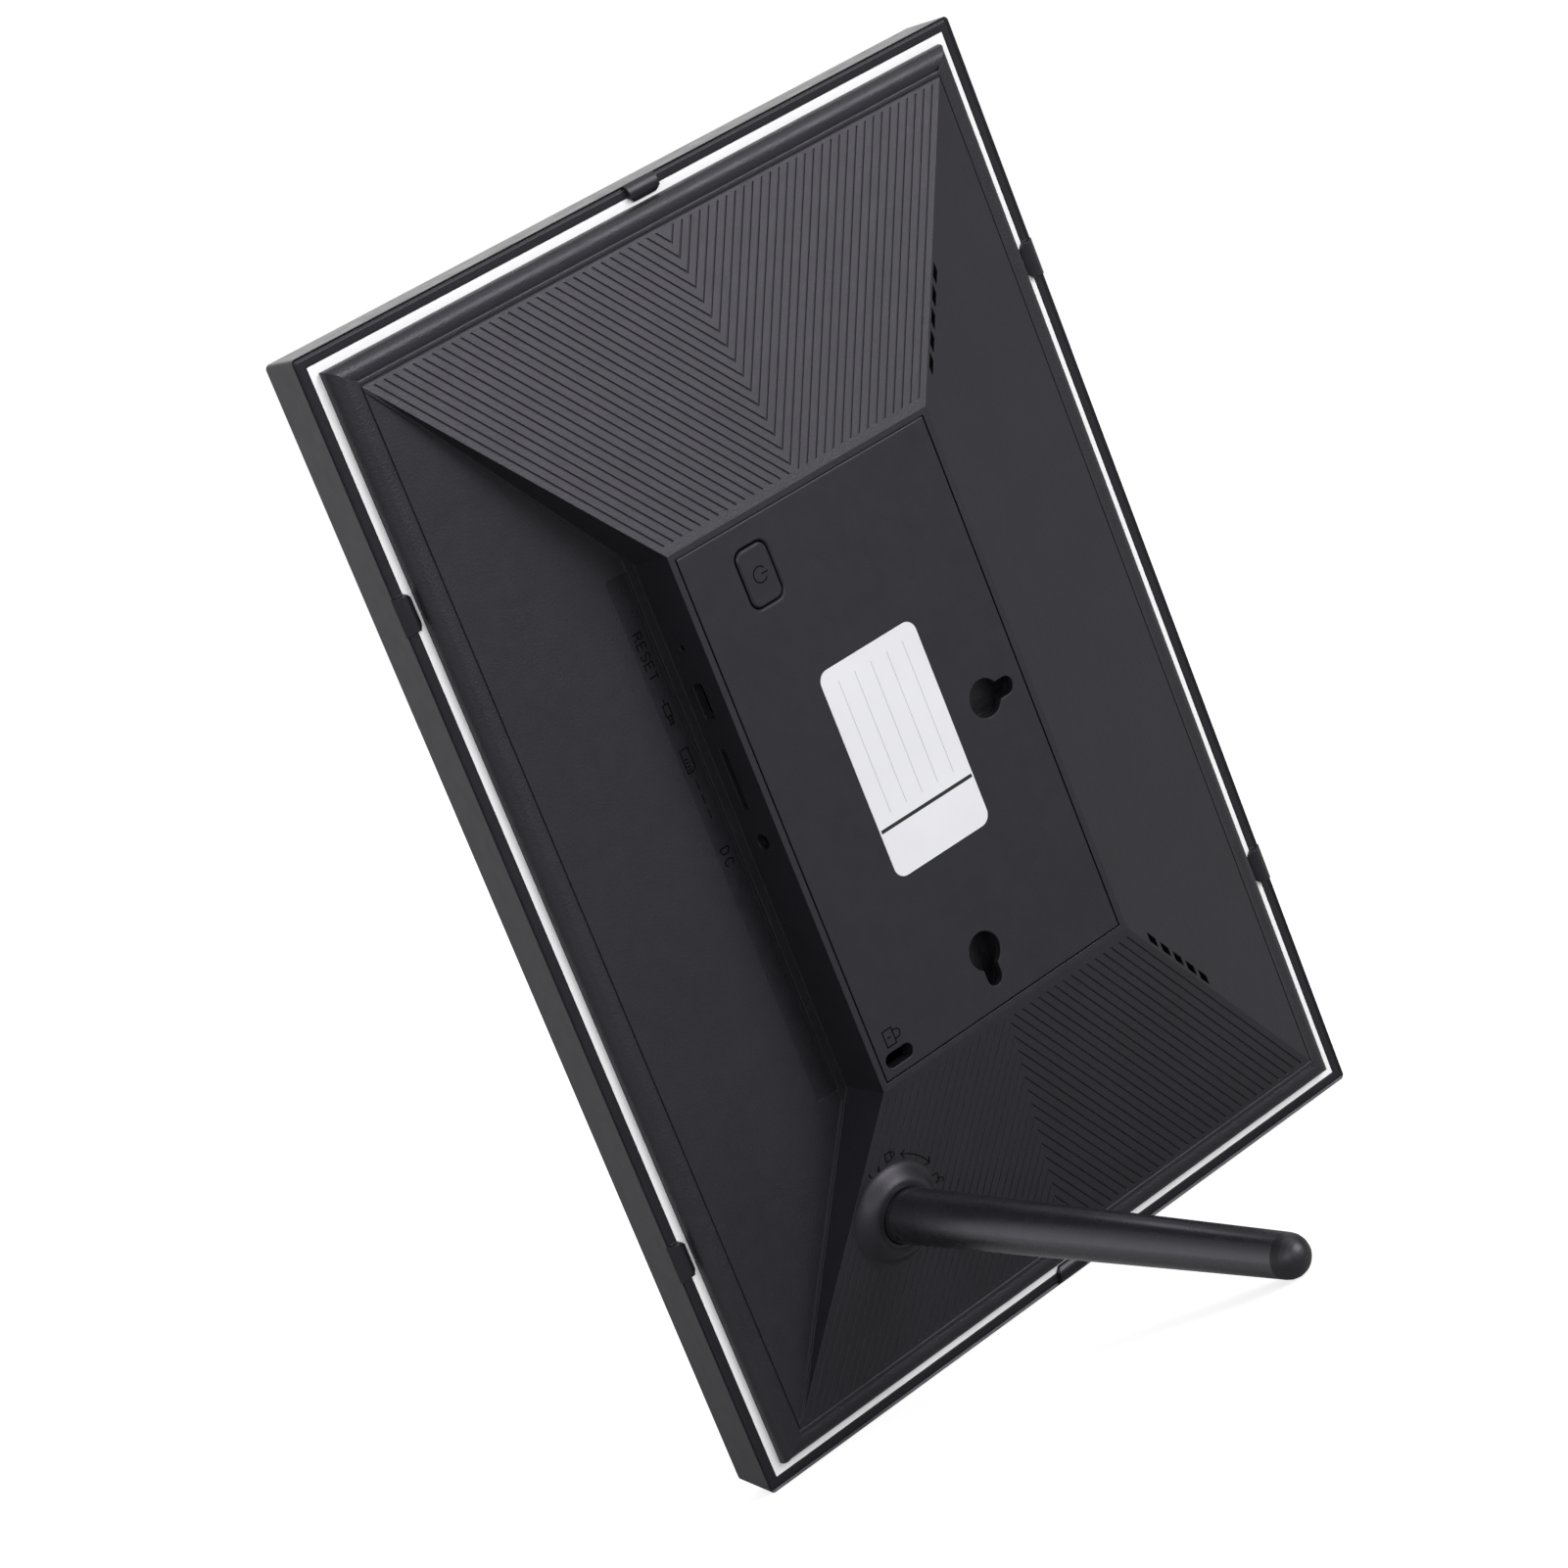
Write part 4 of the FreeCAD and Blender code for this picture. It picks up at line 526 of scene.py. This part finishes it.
def lip_rows():
    """Rounded lip. On the long sides it rolls down to the valley, on the ends to a fine bead."""
    # Outset, run to the crown, rise to it, and inset and height of the roll's end: +x, +z, -x, -z.
    sides = ((-0.27, 2.65, 3.45, 5.06, 3.69), (-0.37, 2.50, 2.95, 3.97, 3.22),
             (-0.02, 2.90, 2.74, 5.06, 3.70), (-0.27, 2.45, 2.90, 3.97, 3.22))
    spring = 0.52           # height where the rounding begins
    rows = [[(edge, -0.07) for edge, run, rise, end, foot in sides]]
    for t in (0, 8, 16, 24, 32, 40, 48, 56, 64, 72, 80, 90):
        c, s = math.cos(math.radians(t)), math.sin(math.radians(t))
        rows.append([(edge + run * (1 - c), spring + rise * s) for edge, run, rise, end, foot in sides])
    for k in (0.25, 0.5, 0.7, 0.85, 1.0):
        row = []
        for edge, run, rise, end, foot in sides:
            start, crown = edge + run, spring + rise
            row.append((start + (end - start) * k, crown - (crown - foot) * k ** 2.0))
        rows.append(row)
    return rows


ring_faces(lip_rows(), "lip_skin", lip_black, True)
bead = ((3.97, 3.215), (4.00, 3.50), (4.06, 3.63), (4.16, 3.69), (4.34, 3.71), (4.80, 3.71),
        (4.98, 3.69), (5.08, 3.63), (5.13, 3.48))
bead_end = 5.06             # where the mitres of the long sides meet it
ring_faces([[(bead_end, p[1]), p, (bead_end, p[1]), p] for p in bead], "bead_skin", lip_black, True,
           (1, 3))
valley = ((5.06, 3.66), (5.13, 3.49), (5.34, 3.49), (5.41, 3.79))
ring_faces([[p] * 4 for p in valley], "valley_skin", black, False)
mat = ((-2.36, -0.70), (-2.36, -0.08), (0.02, -0.08))
ring_faces([[p] * 4 for p in mat], "mat_face", white, False)

# ---------------------------------------------------------------- floor, lamps, world
# The world's soft panels: direction in local axes, sharpness, level.
PANELS = (((0.6, 0.8, 0.0), 4, 3.0), ((-0.45, -0.85, 0.3), 8, 1.4), ((-0.5, 0.1, 0.85), 10, 1.5),
          ((0.6, -0.78, 0.0), 6, 0.85))
WORLD_LEVEL = 0.07
SUN_LEVEL = 0.66 * math.pi
SUN_SPREAD = 38             # degrees
SUN_SIDE = (-0.5, 0.75, 0.45)       # local direction it shines from
FLOOR_GREYS = ((0.58, 0.58, 0.58), (0.60, 0.60, 0.60))
FLOOR_LIFT = 0.75           # added for the camera only, so that the floor shows white

bpy.ops.mesh.primitive_plane_add(size=12, location=(0, 0, 0))
floor = bpy.context.object
floor.name = "floor"
floor_material, tree, shader = new_material("floor_paper")
paper = noise(tree, 8, 2.0)
tree.links.new(mix_colour(tree, paper.outputs["Fac"], *FLOOR_GREYS), shader.inputs["Base Color"])
shader.inputs["Roughness"].default_value = 0.9
shader.inputs["Specular IOR Level"].default_value = 0.0
path = tree.nodes.new("ShaderNodeLightPath")
glow = tree.nodes.new("ShaderNodeMath")
glow.operation = "MULTIPLY"
glow.inputs[1].default_value = FLOOR_LIFT
tree.links.new(path.outputs["Is Camera Ray"], glow.inputs[0])
shader.inputs["Emission Color"].default_value = (1, 1, 1, 1)
tree.links.new(glow.outputs[0], shader.inputs["Emission Strength"])
floor.data.materials.append(floor_material)

world = bpy.data.worlds.new("studio")
scene.world = world
world.use_nodes = True
tree = world.node_tree
background = tree.nodes["Background"]
background.inputs["Color"].default_value = (1, 1, 1, 1)
path = tree.nodes.new("ShaderNodeLightPath")
coords = tree.nodes.new("ShaderNodeTexCoord")
total = None
for direction, sharp, level in PANELS:
    facing = tree.nodes.new("ShaderNodeVectorMath")
    facing.operation = "DOT_PRODUCT"
    facing.inputs[1].default_value = turn(*direction).normalized()
    tree.links.new(coords.outputs["Generated"], facing.inputs[0])
    fall = tree.nodes.new("ShaderNodeMath")
    fall.operation = "MULTIPLY_ADD"
    fall.inputs[1].default_value = sharp
    fall.inputs[2].default_value = -sharp
    tree.links.new(facing.outputs["Value"], fall.inputs[0])
    lobe = tree.nodes.new("ShaderNodeMath")
    lobe.operation = "EXPONENT"
    tree.links.new(fall.outputs[0], lobe.inputs[0])
    add = tree.nodes.new("ShaderNodeMath")
    add.operation = "MULTIPLY_ADD"
    add.inputs[1].default_value = level
    add.inputs[2].default_value = WORLD_LEVEL
    tree.links.new(lobe.outputs[0], add.inputs[0])
    if total is not None:
        tree.links.new(total, add.inputs[2])
    total = add.outputs[0]
strength = tree.nodes.new("ShaderNodeMapRange")
strength.inputs["To Max"].default_value = 1.0
tree.links.new(total, strength.inputs["To Min"])
tree.links.new(path.outputs["Is Camera Ray"], strength.inputs["Value"])
tree.links.new(strength.outputs["Result"], background.inputs["Strength"])

sun_data = bpy.data.lights.new("key", "SUN")
sun_data.angle = math.radians(SUN_SPREAD)
sun_data.energy = SUN_LEVEL
sun = bpy.data.objects.new("key", sun_data)
scene.collection.objects.link(sun)
sun.rotation_mode = "QUATERNION"
sun.rotation_quaternion = turn(*SUN_SIDE).to_track_quat("Z", "Y")

scene.view_settings.view_transform = "Standard"
